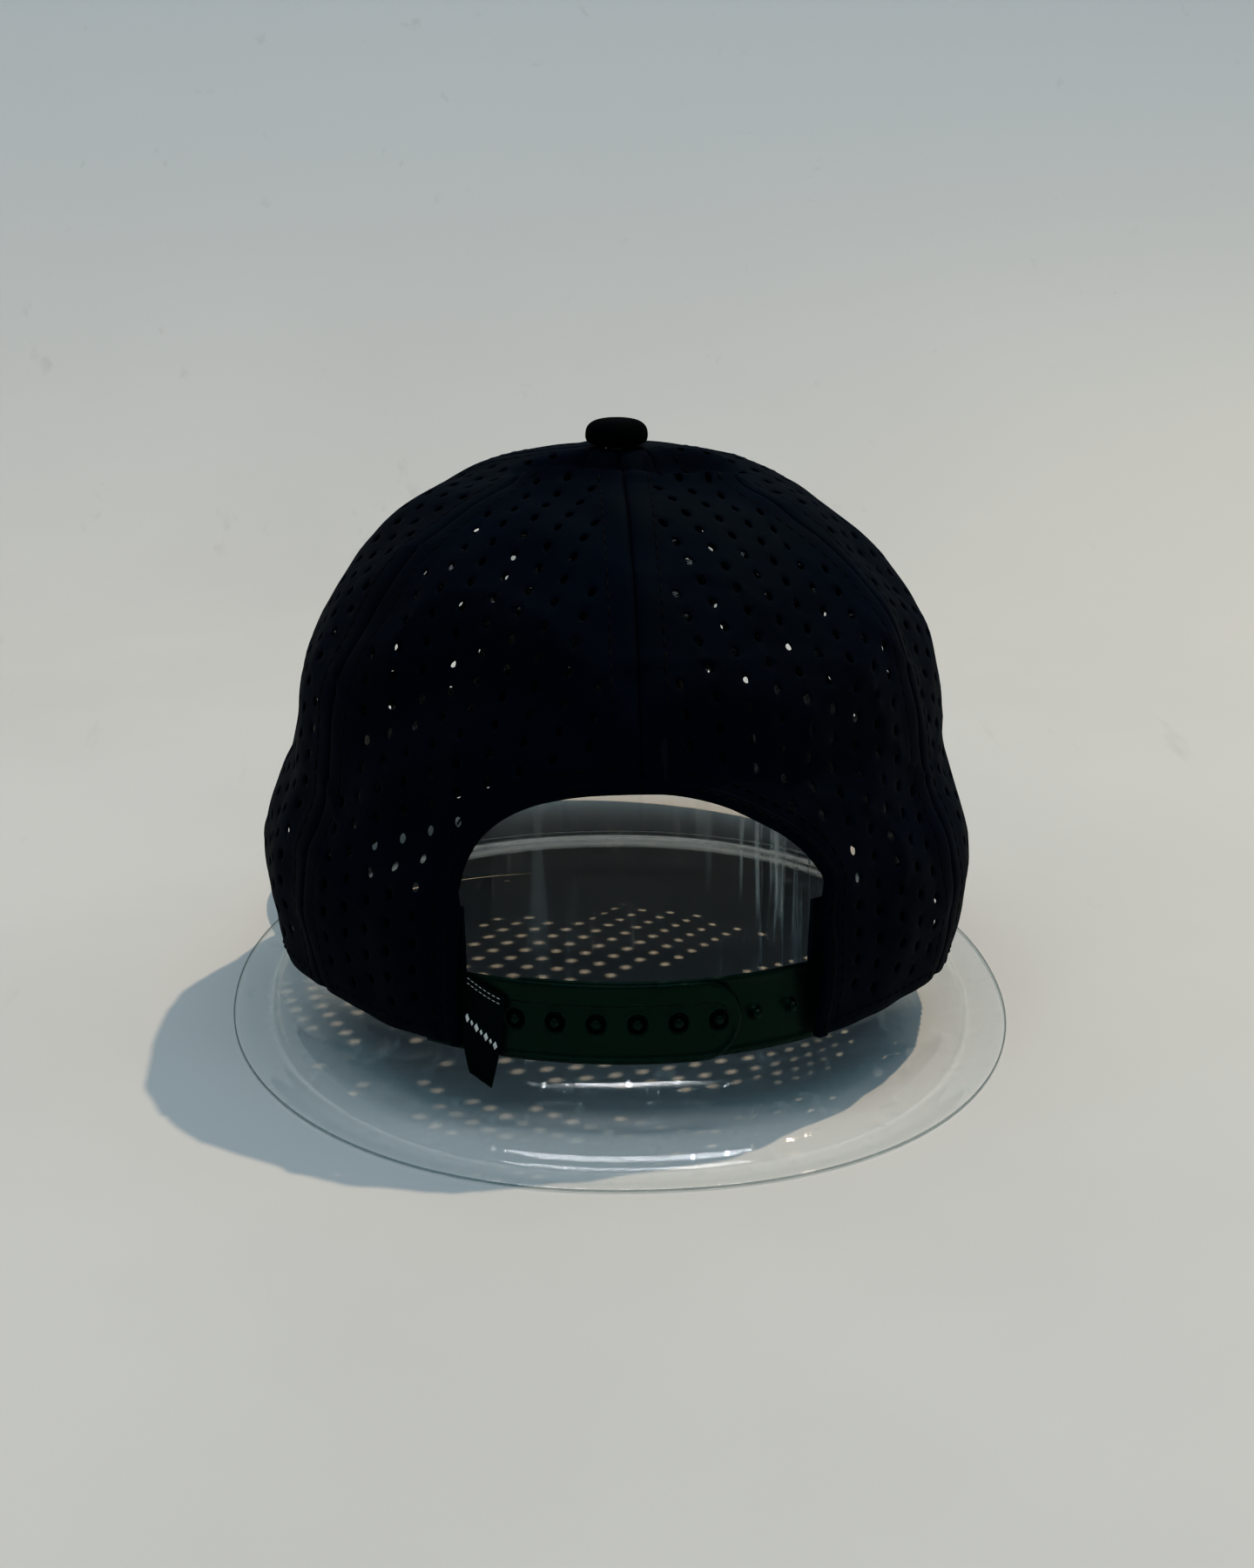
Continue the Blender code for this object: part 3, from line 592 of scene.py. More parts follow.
class Gore:
    """One panel's cloth, laid flat: across from its middle line, and up along it from the hem."""

    def __init__(self, start, end):
        self.start, self.end = start, end
        self.middle = (start + end) / 2
        self.turns = np.linspace(0, float(turn_at_radius(self.middle, TOP_HOLE)), 400)
        line = plain_face(np.full(400, self.middle), self.turns)
        self.climb = run_lengths(line)
        self.width = around_width(np.full(400, self.middle), self.turns)

    def flat(self, azimuth, turn):
        across = (azimuth - self.middle) * np.interp(turn, self.turns, self.width)
        return np.stack([across, np.interp(turn, self.turns, self.climb)], -1)

    def solid(self, flat):
        turn = np.interp(flat[:, 1], self.climb, self.turns)
        return self.middle + flat[:, 0] / np.interp(turn, self.turns, self.width), turn

    def half_width(self, up):
        return (self.end - self.start) / 2 * np.interp(up, self.climb, self.width)

    def seam_distance(self, flat):
        return self.half_width(flat[:, 1]) - np.abs(flat[:, 0])


def arch_outline(grow, count=60):
    """Points (across, height above the band) round the rear opening from its left foot to its right."""
    angles = np.linspace(math.pi, 0, count)
    width, rise = ARCH_HALF_WIDTH + grow, ARCH_TOP - ARCH_SPRING + grow
    power = 2 / ARCH_POWER
    across = width * np.sign(np.cos(angles)) * np.abs(np.cos(angles)) ** power
    height = ARCH_SPRING + rise * np.abs(np.sin(angles)) ** power
    # The cloth sags on the wearer's right of the opening.
    height = height - ARCH_SAG * smooth(4, 38, across) * smooth(ARCH_SPRING - 2, ARCH_SPRING + 12, height)
    legs = np.linspace(0, ARCH_SPRING, 20)[:-1]
    left = np.stack([np.full_like(legs, -width), legs], -1)
    right = np.stack([np.full_like(legs, width), legs[::-1]], -1)
    return np.concatenate([left, np.stack([across, height], -1), right])


def rear_azimuth(across, turn):
    """The azimuth on the back of the dome that is this far across at this turn."""
    azimuth = np.full(np.shape(across), REAR)
    for _ in range(40):
        azimuth = azimuth + (across - plain_face(azimuth, turn)[..., 0]) / (HALF_WIDTH * 1.2)
    return azimuth


def gore_outline(gore, arch_side=0):
    """The panel's flat outline. arch_side is -1 or 1 for the panels that the rear opening cuts."""
    azimuths = np.linspace(gore.start, gore.end, 44)
    hem = gore.flat(azimuths, turn_at_height(bill_edge_rise(azimuths)))

    def seam(azimuth, trim):
        foot = turn_at_height(bill_edge_rise(azimuth))
        turns = foot + (gore.turns[-1] - foot) * np.linspace(0, 1, 90)
        return gore.flat(np.full(90, azimuth), turns) + (trim, 0.0)

    left, right = seam(gore.start, SEAM_TRIM), seam(gore.end, -SEAM_TRIM)
    if arch_side:
        arch = arch_outline(1.6)
        arch = arch[arch[:, 0] * arch_side > 0.3]
        if arch_side < 0:
            arch = arch[::-1]
        turn = turn_at_height(arch[:, 1])
        lap = 2 * math.pi if arch_side < 0 else 0.0
        curve = gore.flat(rear_azimuth(arch[:, 0], turn) + lap, turn)
        top = curve[:, 1].max()
        if arch_side > 0:
            left = left[left[:, 1] > top + 0.5]
            hem = hem[hem[:, 0] > curve[-1, 0] + 0.5]
            return np.concatenate([curve, hem, right[1:], left[::-1]])
        right = right[right[:, 1] > top + 0.5]
        hem = hem[hem[:, 0] < curve[-1, 0] - 0.5]
        return np.concatenate([hem, curve[::-1], right, left[::-1][:-1]])
    return np.concatenate([hem, right[1:], left[::-1][:-1]])


def gore_holes(gore, outline, scale=(1.0, 1.0), grow=0.0):
    """The perforations: a staggered pattern of ovals, clear of seams and edges."""
    low, high = outline.min(0), outline.max(0)
    columns = np.arange(0, high[0] + HOLE_ACROSS, HOLE_ACROSS)
    columns = np.concatenate([-columns[:0:-1], columns])
    centres = []
    for number, x in enumerate(columns):
        lift = HOLE_UP / 2 if (number - len(columns) // 2) % 2 else 0.0
        for y in np.arange(low[1] + 1.5 + lift, high[1], HOLE_UP):
            centres.append((x, y))
    centres = np.array(centres)
    centres = centres[inside(centres, outline)]
    centres = centres[gore.seam_distance(centres) > HOLE_SEAM_CLEARANCE]
    centres = centres[edge_distance(centres, outline) > HOLE_EDGE_CLEARANCE]
    half_width, half_height = HOLE_HALF_WIDTH * scale[0] + grow, HOLE_HALF_HEIGHT * scale[1] + grow
    return [ellipse_loop(c, half_width, half_height) for c in centres]


def seam_relief(distance):
    """The cloth's height over the folded seam allowance: a dip at the seam and at the stitch row."""
    rise = 0.34 * (1 - smooth(SEAM_ROW + 0.3, SEAM_ROW + 1.8, distance))
    return rise - 0.75 * np.exp(-distance / 0.55) - 0.26 * hump(distance, SEAM_ROW, 0.55)


def build_panel(name, start, end, arch_side):
    gore = Gore(start, end)
    outline = gore_outline(gore, arch_side)
    scale = (1.0, 1.0) if arch_side else FRONT_HOLE_SCALE
    holes = gore_holes(gore, outline, scale)
    low, high = outline.min(0), outline.max(0)
    inner = spaced(outline, holes, hex_points(low, high, CLOTH_SPACING), 0.9, 1.75)
    rows = []
    for offset in SEAM_LINES:
        up = np.arange(low[1], high[1], 1.7)
        half = gore.half_width(up) - offset
        up, half = up[half > 0.6], half[half > 0.6]
        rows += [np.stack([-half, up], -1), np.stack([half, up], -1)]
    seam_points = spaced(outline, holes, np.concatenate(rows), 0.3, 1.6)
    inner = inner[gore.seam_distance(inner) > SEAM_ZONE]
    rim = (HOLE_HALF_WIDTH * scale[0] + HOLE_RIM[0], HOLE_HALF_HEIGHT * scale[1] + HOLE_RIM[1])
    rings = [ellipse_loop(h.mean(0), *rim) for h in holes]
    extra = np.concatenate([inner, seam_points] + rings)
    flat, faces, owners = cut_sheet(outline, holes, extra)
    azimuth, turn = gore.solid(flat)
    depth = -seam_relief(np.maximum(gore.seam_distance(flat), 0))
    depth = depth + np.where(owners >= 0, HOLE_DIP, 0.0)
    depth = depth + HEM_TURN * np.exp(-flat[:, 1] / 0.8)
    points, _ = crown(azimuth, turn, depth)
    obj = piece(name, points, faces, PANEL_CLOTH, uv=flat, sharp=70)
    thicken(obj, FABRIC)
    return settle(obj, "crown", name)


# ---------------------------------------------------------------- materials


class Shader:
    """A node material under construction, with a Principled shader at its end."""

    def __init__(self, name):
        self.material = bpy.data.materials.new(name)
        self.material.use_nodes = True
        self.nodes = self.material.node_tree.nodes
        self.links = self.material.node_tree.links
        self.end = self.nodes["Principled BSDF"]
        self.output = self.nodes["Material Output"]
        self.object_space = self.nodes.new("ShaderNodeTexCoord").outputs["Object"]

    def put(self, socket, value):
        if isinstance(value, bpy.types.NodeSocket):
            self.links.new(value, socket)
        else:
            socket.default_value = value

    def node(self, kind, inputs=None, **settings):
        made = self.nodes.new(kind)
        for key, value in settings.items():
            setattr(made, key, value)
        for key, value in (inputs or {}).items():
            self.put(made.inputs[key], value)
        return made

    def maths(self, operation, a, b=0.0, c=0.0):
        return self.node("ShaderNodeMath", {0: a, 1: b, 2: c}, operation=operation).outputs[0]

    def noise(self, scale, detail=3.0, stretch=(1, 1, 1), roughness=0.55):
        mapping = self.node("ShaderNodeMapping", {"Vector": self.object_space, "Scale": stretch})
        inputs = {"Vector": mapping.outputs[0], "Scale": scale, "Detail": detail, "Roughness": roughness}
        return self.node("ShaderNodeTexNoise", inputs).outputs["Fac"]

    def ramp(self, value, low, high, start=0.0, end=1.0):
        inputs = {"Value": value, "From Min": low, "From Max": high, "To Min": start, "To Max": end}
        return self.node("ShaderNodeMapRange", inputs).outputs[0]

    def mix(self, share, a, b):
        made = self.node("ShaderNodeMix", data_type="RGBA")
        for socket, value in ((made.inputs[0], share), (made.inputs[6], a), (made.inputs[7], b)):
            self.put(socket, value)
        return made.outputs[2]

    def bump(self, height, distance, strength=1.0, normal=None):
        inputs = {"Height": height, "Distance": distance, "Strength": strength}
        if normal is not None:
            inputs["Normal"] = normal
        return self.node("ShaderNodeBump", inputs).outputs[0]

    def finish(self, **inputs):
        for key, value in inputs.items():
            self.put(self.end.inputs[key.replace("_", " ")], value)
        return self.material


def cloth(name, dark, light, pitch, depth, roughness=0.75, sheen=0.004, twill=0.0, gloss=0.05):
    """Woven cloth: threads over and under each other in the cloth's own plane, with lint and wear."""
    shade = Shader(name)
    plane = shade.node("ShaderNodeUVMap", uv_map="cloth").outputs[0]
    parts = shade.node("ShaderNodeSeparateXYZ", {0: plane})
    turn = 2 * math.pi / pitch
    across = shade.maths("MULTIPLY", parts.outputs[0], turn)
    up = shade.maths("MULTIPLY", shade.maths("MULTIPLY_ADD", parts.outputs[0], twill, parts.outputs[1]), turn)
    warp = shade.maths("SINE", across)
    weft = shade.maths("SINE", up)
    weave = shade.maths("MULTIPLY_ADD", shade.maths("MULTIPLY", warp, weft), 0.5, 0.5)
    lint = shade.noise(scale=900.0, detail=2.0)
    wear = shade.noise(scale=38.0, detail=5.0)
    height = shade.maths("MULTIPLY_ADD", lint, 0.6, weave)
    tone = shade.maths("MULTIPLY_ADD", weave, 0.35, shade.ramp(wear, 0.3, 0.7, 0.0, 0.65))
    slubs = shade.bump(shade.noise(70.0, 4.0), 0.0004, 0.35)
    return shade.finish(
        Base_Color=shade.mix(tone, (*dark, 1), (*light, 1)),
        Roughness=shade.ramp(wear, 0.25, 0.75, roughness - 0.08, roughness + 0.1),
        Sheen_Weight=sheen,
        Sheen_Roughness=0.45,
        Specular_IOR_Level=gloss,
        Specular_Tint=(0.10, 0.78, 0.95, 1),
        Normal=shade.bump(height, depth * MM, 0.8, slubs),
    )


def moulded(name, dark, light, roughness, grain=0.00003, grain_scale=2600.0, gloss=0.4, gleam=(1, 1, 1)):
    """Moulded plastic: a fine spark-eroded grain, slight flow marks and handling wear."""
    shade = Shader(name)
    wear = shade.noise(60.0, 6.0)
    scuffs = shade.noise(240.0, 3.0, stretch=(1, 1, 6))
    fine = shade.noise(grain_scale, 2.0)
    return shade.finish(
        Base_Color=shade.mix(shade.ramp(wear, 0.35, 0.7), (*dark, 1), (*light, 1)),
        Roughness=shade.maths("MULTIPLY_ADD", shade.ramp(scuffs, 0.45, 0.7), 0.14, roughness),
        Specular_IOR_Level=gloss,
        Specular_Tint=(*gleam, 1),
        Normal=shade.bump(fine, grain, 0.7, shade.bump(wear, 0.0003, 0.25)),
    )


def metal(name, colour, roughness):
    """Stamped metal with fine turned marks and a little tarnish."""
    shade = Shader(name)
    marks = shade.noise(900.0, 2.0, stretch=(1, 1, 12))
    tarnish = shade.noise(140.0, 5.0)
    dull = tuple(0.55 * c for c in colour)
    return shade.finish(
        Base_Color=shade.mix(shade.ramp(tarnish, 0.5, 0.8), (*colour, 1), (*dull, 1)),
        Metallic=1.0,
        Roughness=shade.ramp(marks, 0.3, 0.7, roughness, roughness + 0.15),
        Normal=shade.bump(marks, 0.00002, 0.5),
    )


# Where the clear form's rubbed streaks fade in, in metres in the frame.
STREAKS_ACROSS = (0.018, 0.034)
STREAKS_BACK = (-0.082, -0.097)
STREAKS_UP = (0.012, 0.03)


def clear_sheet(name, tint, slanted_tint):
    """Thin clear plastic: it lets light straight through, mirrors more at a slant and is finely scratched."""
    shade = Shader(name)
    draw = shade.noise(420.0, 3.0, stretch=(1, 1, 0.05))
    waves = shade.noise(34.0, 2.0)
    scratches = shade.ramp(draw, 0.62, 0.72)
    normal = shade.bump(draw, 0.00006, 0.35, shade.bump(waves, 0.0005, 0.35))
    facing = shade.node("ShaderNodeLayerWeight", {"Blend": 0.5, "Normal": normal}).outputs["Facing"]
    fresnel = shade.maths("MULTIPLY_ADD", shade.maths("POWER", facing, 5.0), 0.55, 0.006)
    tint = shade.mix(shade.ramp(facing, 0.55, 1.0), (*tint, 1), (*slanted_tint, 1))
    through = shade.node("ShaderNodeBsdfTransparent", {"Color": tint}).outputs[0]
    rough = shade.ramp(scratches, 0.0, 1.0, 0.03, 0.22)
    mirror = shade.node(
        "ShaderNodeBsdfGlossy", {"Color": (1, 1, 1, 1), "Roughness": rough, "Normal": normal}
    ).outputs[0]
    share = shade.maths("MULTIPLY_ADD", scratches, 0.035, fresnel)
    mixed = shade.node("ShaderNodeMixShader", {0: share, 1: through, 2: mirror}).outputs[0]
    # Rubbed streaks, thickest on the wearer's right of the back wall.
    parts = shade.node("ShaderNodeSeparateXYZ", {0: shade.object_space})
    right = shade.ramp(parts.outputs[0], *STREAKS_ACROSS)
    back = shade.ramp(parts.outputs[1], *STREAKS_BACK)
    corner = shade.maths("MULTIPLY", right, back)
    upright = shade.maths("MULTIPLY", shade.ramp(parts.outputs[2], *STREAKS_UP), corner)
    rubbed = shade.ramp(shade.noise(520.0, 2.0, stretch=(1, 0.2, 0.035)), 0.50, 0.62)
    drawn = shade.noise(160.0, 2.0, stretch=(1, 1, 0.03))
    faint = shade.maths("MULTIPLY", shade.ramp(drawn, 0.60, 0.66), 0.05)
    haze = shade.maths("MULTIPLY_ADD", shade.maths("MULTIPLY", upright, rubbed), 0.42, faint)
    white = shade.node("ShaderNodeBsdfDiffuse", {"Color": (0.75, 0.80, 0.80, 1)}).outputs[0]
    mixed = shade.node("ShaderNodeMixShader", {0: haze, 1: mixed, 2: white}).outputs[0]
    shade.links.new(mixed, shade.output.inputs[0])
    shade.nodes.remove(shade.end)
    return shade.material


def ground(name):
    """A pale table top with faint scratches and cloudy variation. Where it sweeps up it is painted a little
    lighter and glows faintly, standing in for light, and a warm pool of light is painted towards its right.
    """
    shade = Shader(name)
    clouds = shade.noise(5.0, 4.0)
    scratches = shade.ramp(shade.noise(60.0, 6.0, stretch=(1.0, 0.12, 1)), 0.66, 0.74)
    table = shade.mix(shade.ramp(clouds, 0.35, 0.65), (0.58, 0.58, 0.58, 1), (0.62, 0.62, 0.62, 1))
    parts = shade.node("ShaderNodeSeparateXYZ", {0: shade.object_space})
    # Painted light: the upright part is painted lighter and glows faintly, standing in for light that doesn't
    # reach it.
    climb = shade.ramp(parts.outputs[2], 0.0, 0.25)
    # A painted warm pool of light: the table is painted lighter and warmer towards its right.
    painted_warm_pool = shade.mix(shade.ramp(parts.outputs[0], 0.08, 0.42), table, (0.70, 0.685, 0.655, 1))
    colour = shade.mix(climb, painted_warm_pool, (0.74, 0.74, 0.74, 1))
    return shade.finish(
        # The faint glow where the table sweeps up is painted light, not a lamp.
        Emission_Color=(0.95, 1.0, 0.98, 1),
        Emission_Strength=shade.maths("MULTIPLY", climb, 0.10),
        Base_Color=shade.mix(shade.maths("MULTIPLY", scratches, 0.3), colour, (0.42, 0.41, 0.40, 1)),
        Roughness=0.6,
        Specular_IOR_Level=0.2,
        Normal=shade.bump(clouds, 0.0006, 0.2),
    )


PANEL_CLOTH = cloth("panel_cloth", (0.0001, 0.0007, 0.0042), (0.0005, 0.0030, 0.0115), 0.42, 0.035)
BUTTON_CLOTH = cloth(
    "button_cloth", (0.0001, 0.0005, 0.0007), (0.0004, 0.0018, 0.0022), 0.42, 0.035, gloss=0.02
)
BILL_CLOTH = cloth(
    "bill_cloth", (0.0009, 0.0014, 0.0032), (0.0032, 0.0043, 0.0080), 0.46, 0.04, twill=0.5
)
BINDING_CLOTH = cloth(
    "binding_cloth", (0.0001, 0.0007, 0.0034), (0.0006, 0.0026, 0.0088), 0.5, 0.05, twill=1.0
)
TAPE_CLOTH = cloth("tape_cloth", (0.003, 0.0045, 0.010), (0.008, 0.011, 0.021), 0.6, 0.06, twill=1.0)
SWEAT_CLOTH = cloth(
    "sweatband_cloth", (0.003, 0.0045, 0.010), (0.009, 0.012, 0.023), 1.1, 0.16, 0.9, sheen=0.0, twill=0.25
)
BUCKRAM_CLOTH = cloth(
    "buckram_cloth", (0.004, 0.006, 0.012), (0.011, 0.015, 0.026), 1.3, 0.30, 0.85, sheen=0.0
)
FOAM = moulded("brow_foam", (0.018, 0.018, 0.019), (0.035, 0.035, 0.037), 0.9, 0.0002, 900.0)
LABEL_SATIN = cloth(
    "white_label_satin", (0.62, 0.61, 0.58), (0.78, 0.77, 0.74), 0.28, 0.02, 0.5,
    sheen=0.1, twill=2.0, gloss=0.3,
)
TAG_SATIN = cloth(
    "tag_satin", (0.0006, 0.0022, 0.0018), (0.0028, 0.0062, 0.0052), 0.30, 0.03, 0.45, sheen=0.01, twill=2.0
)
THREAD_BLACK = moulded(
    "black_thread", (0.0005, 0.0009, 0.0022), (0.0018, 0.0026, 0.0052), 0.6, 0.00008, 3200.0, gloss=0.05
)
THREAD_WHITE = moulded("white_thread", (0.66, 0.66, 0.63), (0.84, 0.84, 0.81), 0.6, 0.00008, 3200.0)
SNAP_PLASTIC = moulded(
    "snap_plastic", (0.0002, 0.0050, 0.0024), (0.0009, 0.0095, 0.0048), 0.34,
    gloss=0.2, gleam=(0.35, 1.0, 0.75),
)
BOARD_PLASTIC = moulded("bill_board_plastic", (0.035, 0.035, 0.038), (0.06, 0.06, 0.064), 0.5)
SHELL_METAL = metal("button_metal", (0.66, 0.67, 0.69), 0.28)
CLEAR = clear_sheet("clear_form_sheet", (0.985, 0.99, 0.99), (0.86, 0.90, 0.90))
SHEET_EDGE = clear_sheet("clear_sheet_edge", (0.62, 0.66, 0.66), (0.50, 0.54, 0.54))
TABLE = ground("table_top")


# ---------------------------------------------------------------- crown


def around_width(azimuth, turn):
    """How many millimetres one radian round the dome is."""
    step = 0.01
    span = plain_face(azimuth + step, turn) - plain_face(azimuth - step, turn)
    return np.linalg.norm(span, axis=-1) / (2 * step)


def seam_path(azimuth, offset, low, top_radius, depth):
    """A line beside a seam, from a height above the band to a radius near the top."""
    turns = np.linspace(float(turn_at_height(low)), float(turn_at_radius(azimuth, top_radius)), 160)
    where = np.full(len(turns), azimuth)
    return crown(where + offset / around_width(where, turns), turns, depth)


SEAMS = {
    "back": REAR,
    "back_right": REAR + SIXTH,
    "front_right": REAR + 2 * SIXTH,
    "front": FRONT,
    "front_left": REAR + 4 * SIXTH,
    "back_left": REAR + 5 * SIXTH,
}


def seam_foot(name, azimuth):
    if name == "back":
        return ARCH_TOP + 5.2
    return float(bill_edge_rise(azimuth)) + (4.0 if "front" in name else 1.0)


def build_crown():
    panels = ("back_right", "side_right", "front_right", "front_left", "side_left", "back_left")
    for i, name in enumerate(panels):
        start = REAR + i * SIXTH
        arch_side = {"back_right": 1, "back_left": -1}.get(name, 0)
        build_panel(f"{name}_panel", start, start + SIXTH, arch_side)
    rows = []
    for name, azimuth in SEAMS.items():
        for offset in (-SEAM_ROW, SEAM_ROW):
            rows.append(seam_path(azimuth, offset, seam_foot(name, azimuth), TOPSTITCH_END, -0.04))
    stitched("crown_topstitching", rows, "crown", "panel_fabric")


def arch_path(grow, depth):
    """A path round the rear opening, on the cloth."""
    outline = arch_outline(grow, 120)
    turn = turn_at_height(outline[:, 1])
    return crown(rear_azimuth(outline[:, 0], turn), turn, depth)


def build_arch():
    path, outward = arch_path(1.7, 0.55)
    path[0, 2] = path[-1, 2] = BAND_Z + 0.3
    binding = sweep(
        "arch_binding", path, outward, rounded_section(3.3, 2.5, 0.9, 5), BINDING_CLOTH
    )
    settle(binding, "crown", "arch_binding")
    rows = [arch_path(1.9, -0.68), arch_path(5.4, 0.02)]
    stitched("arch_stitching", rows, "crown", "bill_fabric")


def build_hem():
    """The row of stitches that holds the sweatband, just above the crown's lower edge."""
    rows = []
    right = (azimuth_at(50.0), math.radians(20))
    left = (math.radians(160), math.radians(270) - 0.52)
    for start, end in (right, left):
        where = np.linspace(start, end, 160)
        rows.append(crown(where, turn_at_height(bill_edge_rise(where) + HEM_ROW), 0.0))
    stitched("hem_stitching", rows, "crown", "panel_fabric")


def build_tapes():
    for name, azimuth in SEAMS.items():
        low = {"front": FRONT_TAPE_FOOT, "back": ARCH_TOP + 2.2}.get(name, seam_foot(name, azimuth) + 0.5)
        depth = FRONT_TAPE_DEPTH if name == "front" else TAPE_DEPTH
        path, outward = seam_path(azimuth, 0.0, low, TAPE_END, depth)
        tape = sweep(f"seam_tape_{name}", path, outward, tape_section(), TAPE_CLOTH)
        settle(tape, "crown", f"seam_tape_{name}")


def tape_section():
    """A flat woven tape with raised, stitched borders."""
    across = np.linspace(-6, 6, 25)
    lift = 0.22 - 0.16 * hump(np.abs(across), 4.6, 0.5) + 0.08 * hump(np.abs(across), 5.6, 0.4)
    lift = lift * smooth(6.05, 5.7, np.abs(across)) + 0.03
    upper = np.stack([across, lift], -1)[::-1]
    return [tuple(p) for p in upper] + [(x, -y) for x, y in upper[::-1]]


def build_buckram():
    """The stiffeners behind the front panels, perforated together with them."""
    for side, start in (("right", FRONT - SIXTH), ("left", FRONT)):
        gore = Gore(start, start + SIXTH)
        low, high = (float(np.interp(turn_at_height(h), gore.turns, gore.climb)) for h in BUCKRAM_HEIGHTS)
        up = np.linspace(low, high, 70)
        half = gore.half_width(up) - BUCKRAM_SEAM_GAP
        left, right = np.stack([-half, up], -1), np.stack([half, up], -1)
        foot = np.stack([np.linspace(-half[0], half[0], 40)[1:-1], np.full(38, low)], -1)
        head = np.stack([np.linspace(half[-1], -half[-1], 14)[1:-1], np.full(12, high)], -1)
        outline = np.concatenate([foot, right, head, left[::-1]])
        holes = gore_holes(gore, gore_outline(gore), FRONT_HOLE_SCALE, BUCKRAM_HOLE_GROWTH)
        holes = [h for h in holes if low + 1.8 < h[:, 1].mean() < high - 1.8 and inside(h, outline).all()]
        inner = spaced(outline, holes, hex_points(outline.min(0), outline.max(0), 3.2), 1.0, 2.2)
        flat, faces, _ = cut_sheet(outline, holes, inner)
        azimuth, turn = gore.solid(flat)
        points, _ = crown(azimuth, turn, BUCKRAM_DEPTH)
        sheet = piece(f"buckram_{side}", points, faces, BUCKRAM_CLOTH, uv=flat)
        settle(thicken(sheet, 0.45), "crown", f"buckram_{side}")


def ring_loft(name, rings, material):
    """A closed solid through rings of points, all of one count, with flat ends."""
    rings = np.asarray(rings)
    count = rings.shape[1]
    faces = grid_faces(count, len(rings) - 1, wrap=True) + end_faces(count, len(rings))
    along, around = run_lengths(rings[:, 0]), run_lengths(rings[0])
    uv = np.stack(np.broadcast_arrays(along[:, None], around[None, :]), -1)
    return piece(name, rings, faces, material, uv=uv, sharp=60)


def band_ring(azimuth, section, lean=0.1):
    """A section of (height, depth) pairs set up on the band at one azimuth, leaning in at the forehead."""
    outward = unit(np.array([math.cos(azimuth) / HALF_WIDTH, math.sin(azimuth) / HALF_LENGTH, 0.0]))
    foot = np.array([HALF_WIDTH * math.cos(azimuth), HALF_LENGTH * math.sin(azimuth), BAND_Z])
    foot[2] += float(bill_edge_rise(azimuth))
    forward = max(0.0, math.sin(azimuth)) ** 2
    return [
        foot + np.array([0, 0, rise]) - outward * (depth + lean * rise * forward) for rise, depth in section
    ]


def build_sweatband():
    height = SWEATBAND_HEIGHT
    rise = np.linspace(0, 1, 22)
    outer = [(0.6 + (height - 1.2) * v, SWEATBAND_DEPTH + 0.25 * math.sin(math.pi * v)) for v in rise]
    puff = 0.55 * np.sin(math.pi * np.clip((rise - 0.12) / 0.8, 0, 1)) - 0.35 * hump(rise, 0.11, 0.02)
    inner = [(0.6 + (height - 1.2) * v, SWEATBAND_INNER_DEPTH + p) for v, p in zip(rise, puff)]
    section = [(0.2, 6.0)] + outer + [(height - 0.2, 6.0), (height, 6.4), (height - 0.2, 6.8)]
    section += inner[::-1] + [(0.1, 6.6)]
    start = float(azimuth_at(SWEATBAND_REACH))
    stations = np.linspace(start, math.pi - start, 220)
    band_piece = ring_loft("sweatband", [band_ring(a, section) for a in stations], SWEAT_CLOTH)
    settle(band_piece, "crown", "sweatband")
    path = np.array([band_ring(a, [(3.8, 6.75)])[0] for a in stations])
    inward = np.array([(-math.cos(a) / HALF_WIDTH, -math.sin(a) / HALF_LENGTH, 0) for a in stations])
    rows = [(path, unit(inward))]
    stitched("sweatband_stitching", rows, "crown", "lining")


def build_bill_allowance():
    """The turned-in cloth behind the bill's joint, which closes the joint when the bill dips."""
    section = [(-2.8, 1.6), (-2.6, -0.2), (-1.2, -0.2), (-0.6, 1.9), (5.0, 1.9), (5.0, 2.5), (-2.4, 2.5)]
    start = BILL_START + 0.02
    stations = np.linspace(start, math.pi - start, 160)
    rings = [band_ring(a, section, 0.0) for a in stations]
    settle(ring_loft("bill_seam_allowance", rings, SWEAT_CLOTH), "crown")


def build_brow_foam():
    """A soft pad between the sweatband and the front panels, thickest at its middle."""
    rings = []
    for share in np.linspace(0, 1, 70):
        azimuth = math.radians(42 + 96 * share)
        swell = 0.35 + 0.65 * float(smooth(0, 0.06, share) * smooth(1, 0.94, share))
        angles = np.linspace(0, 2 * math.pi, 24, endpoint=False)
        rise = 7.0 + 5.4 * np.sign(np.cos(angles)) * np.abs(np.cos(angles)) ** 0.6
        depth = 4.3 - 0.85 * swell * np.sin(angles)
        rings.append(band_ring(azimuth, list(zip(rise, depth))))
    settle(ring_loft("brow_foam", rings, FOAM), "crown", "brow_foam")


def label_sheet(name, azimuths, heights, depth, columns, rows, curl, material):
    """A label on the inside of the dome between two azimuths and two heights."""
    u, v = grid(columns, rows)
    low, high = heights
    azimuth = azimuths[0] + (azimuths[1] - azimuths[0]) * u
    turn = turn_at_height(low + (high - low) * v)
    points, _ = crown(azimuth, turn, depth + curl(u, v))
    flat = np.stack([(azimuth - azimuths[0]) * 95.0, (high - low) * v], -1)
    return thicken(piece(name, points, grid_faces(columns, rows), material, uv=flat), 0.4)


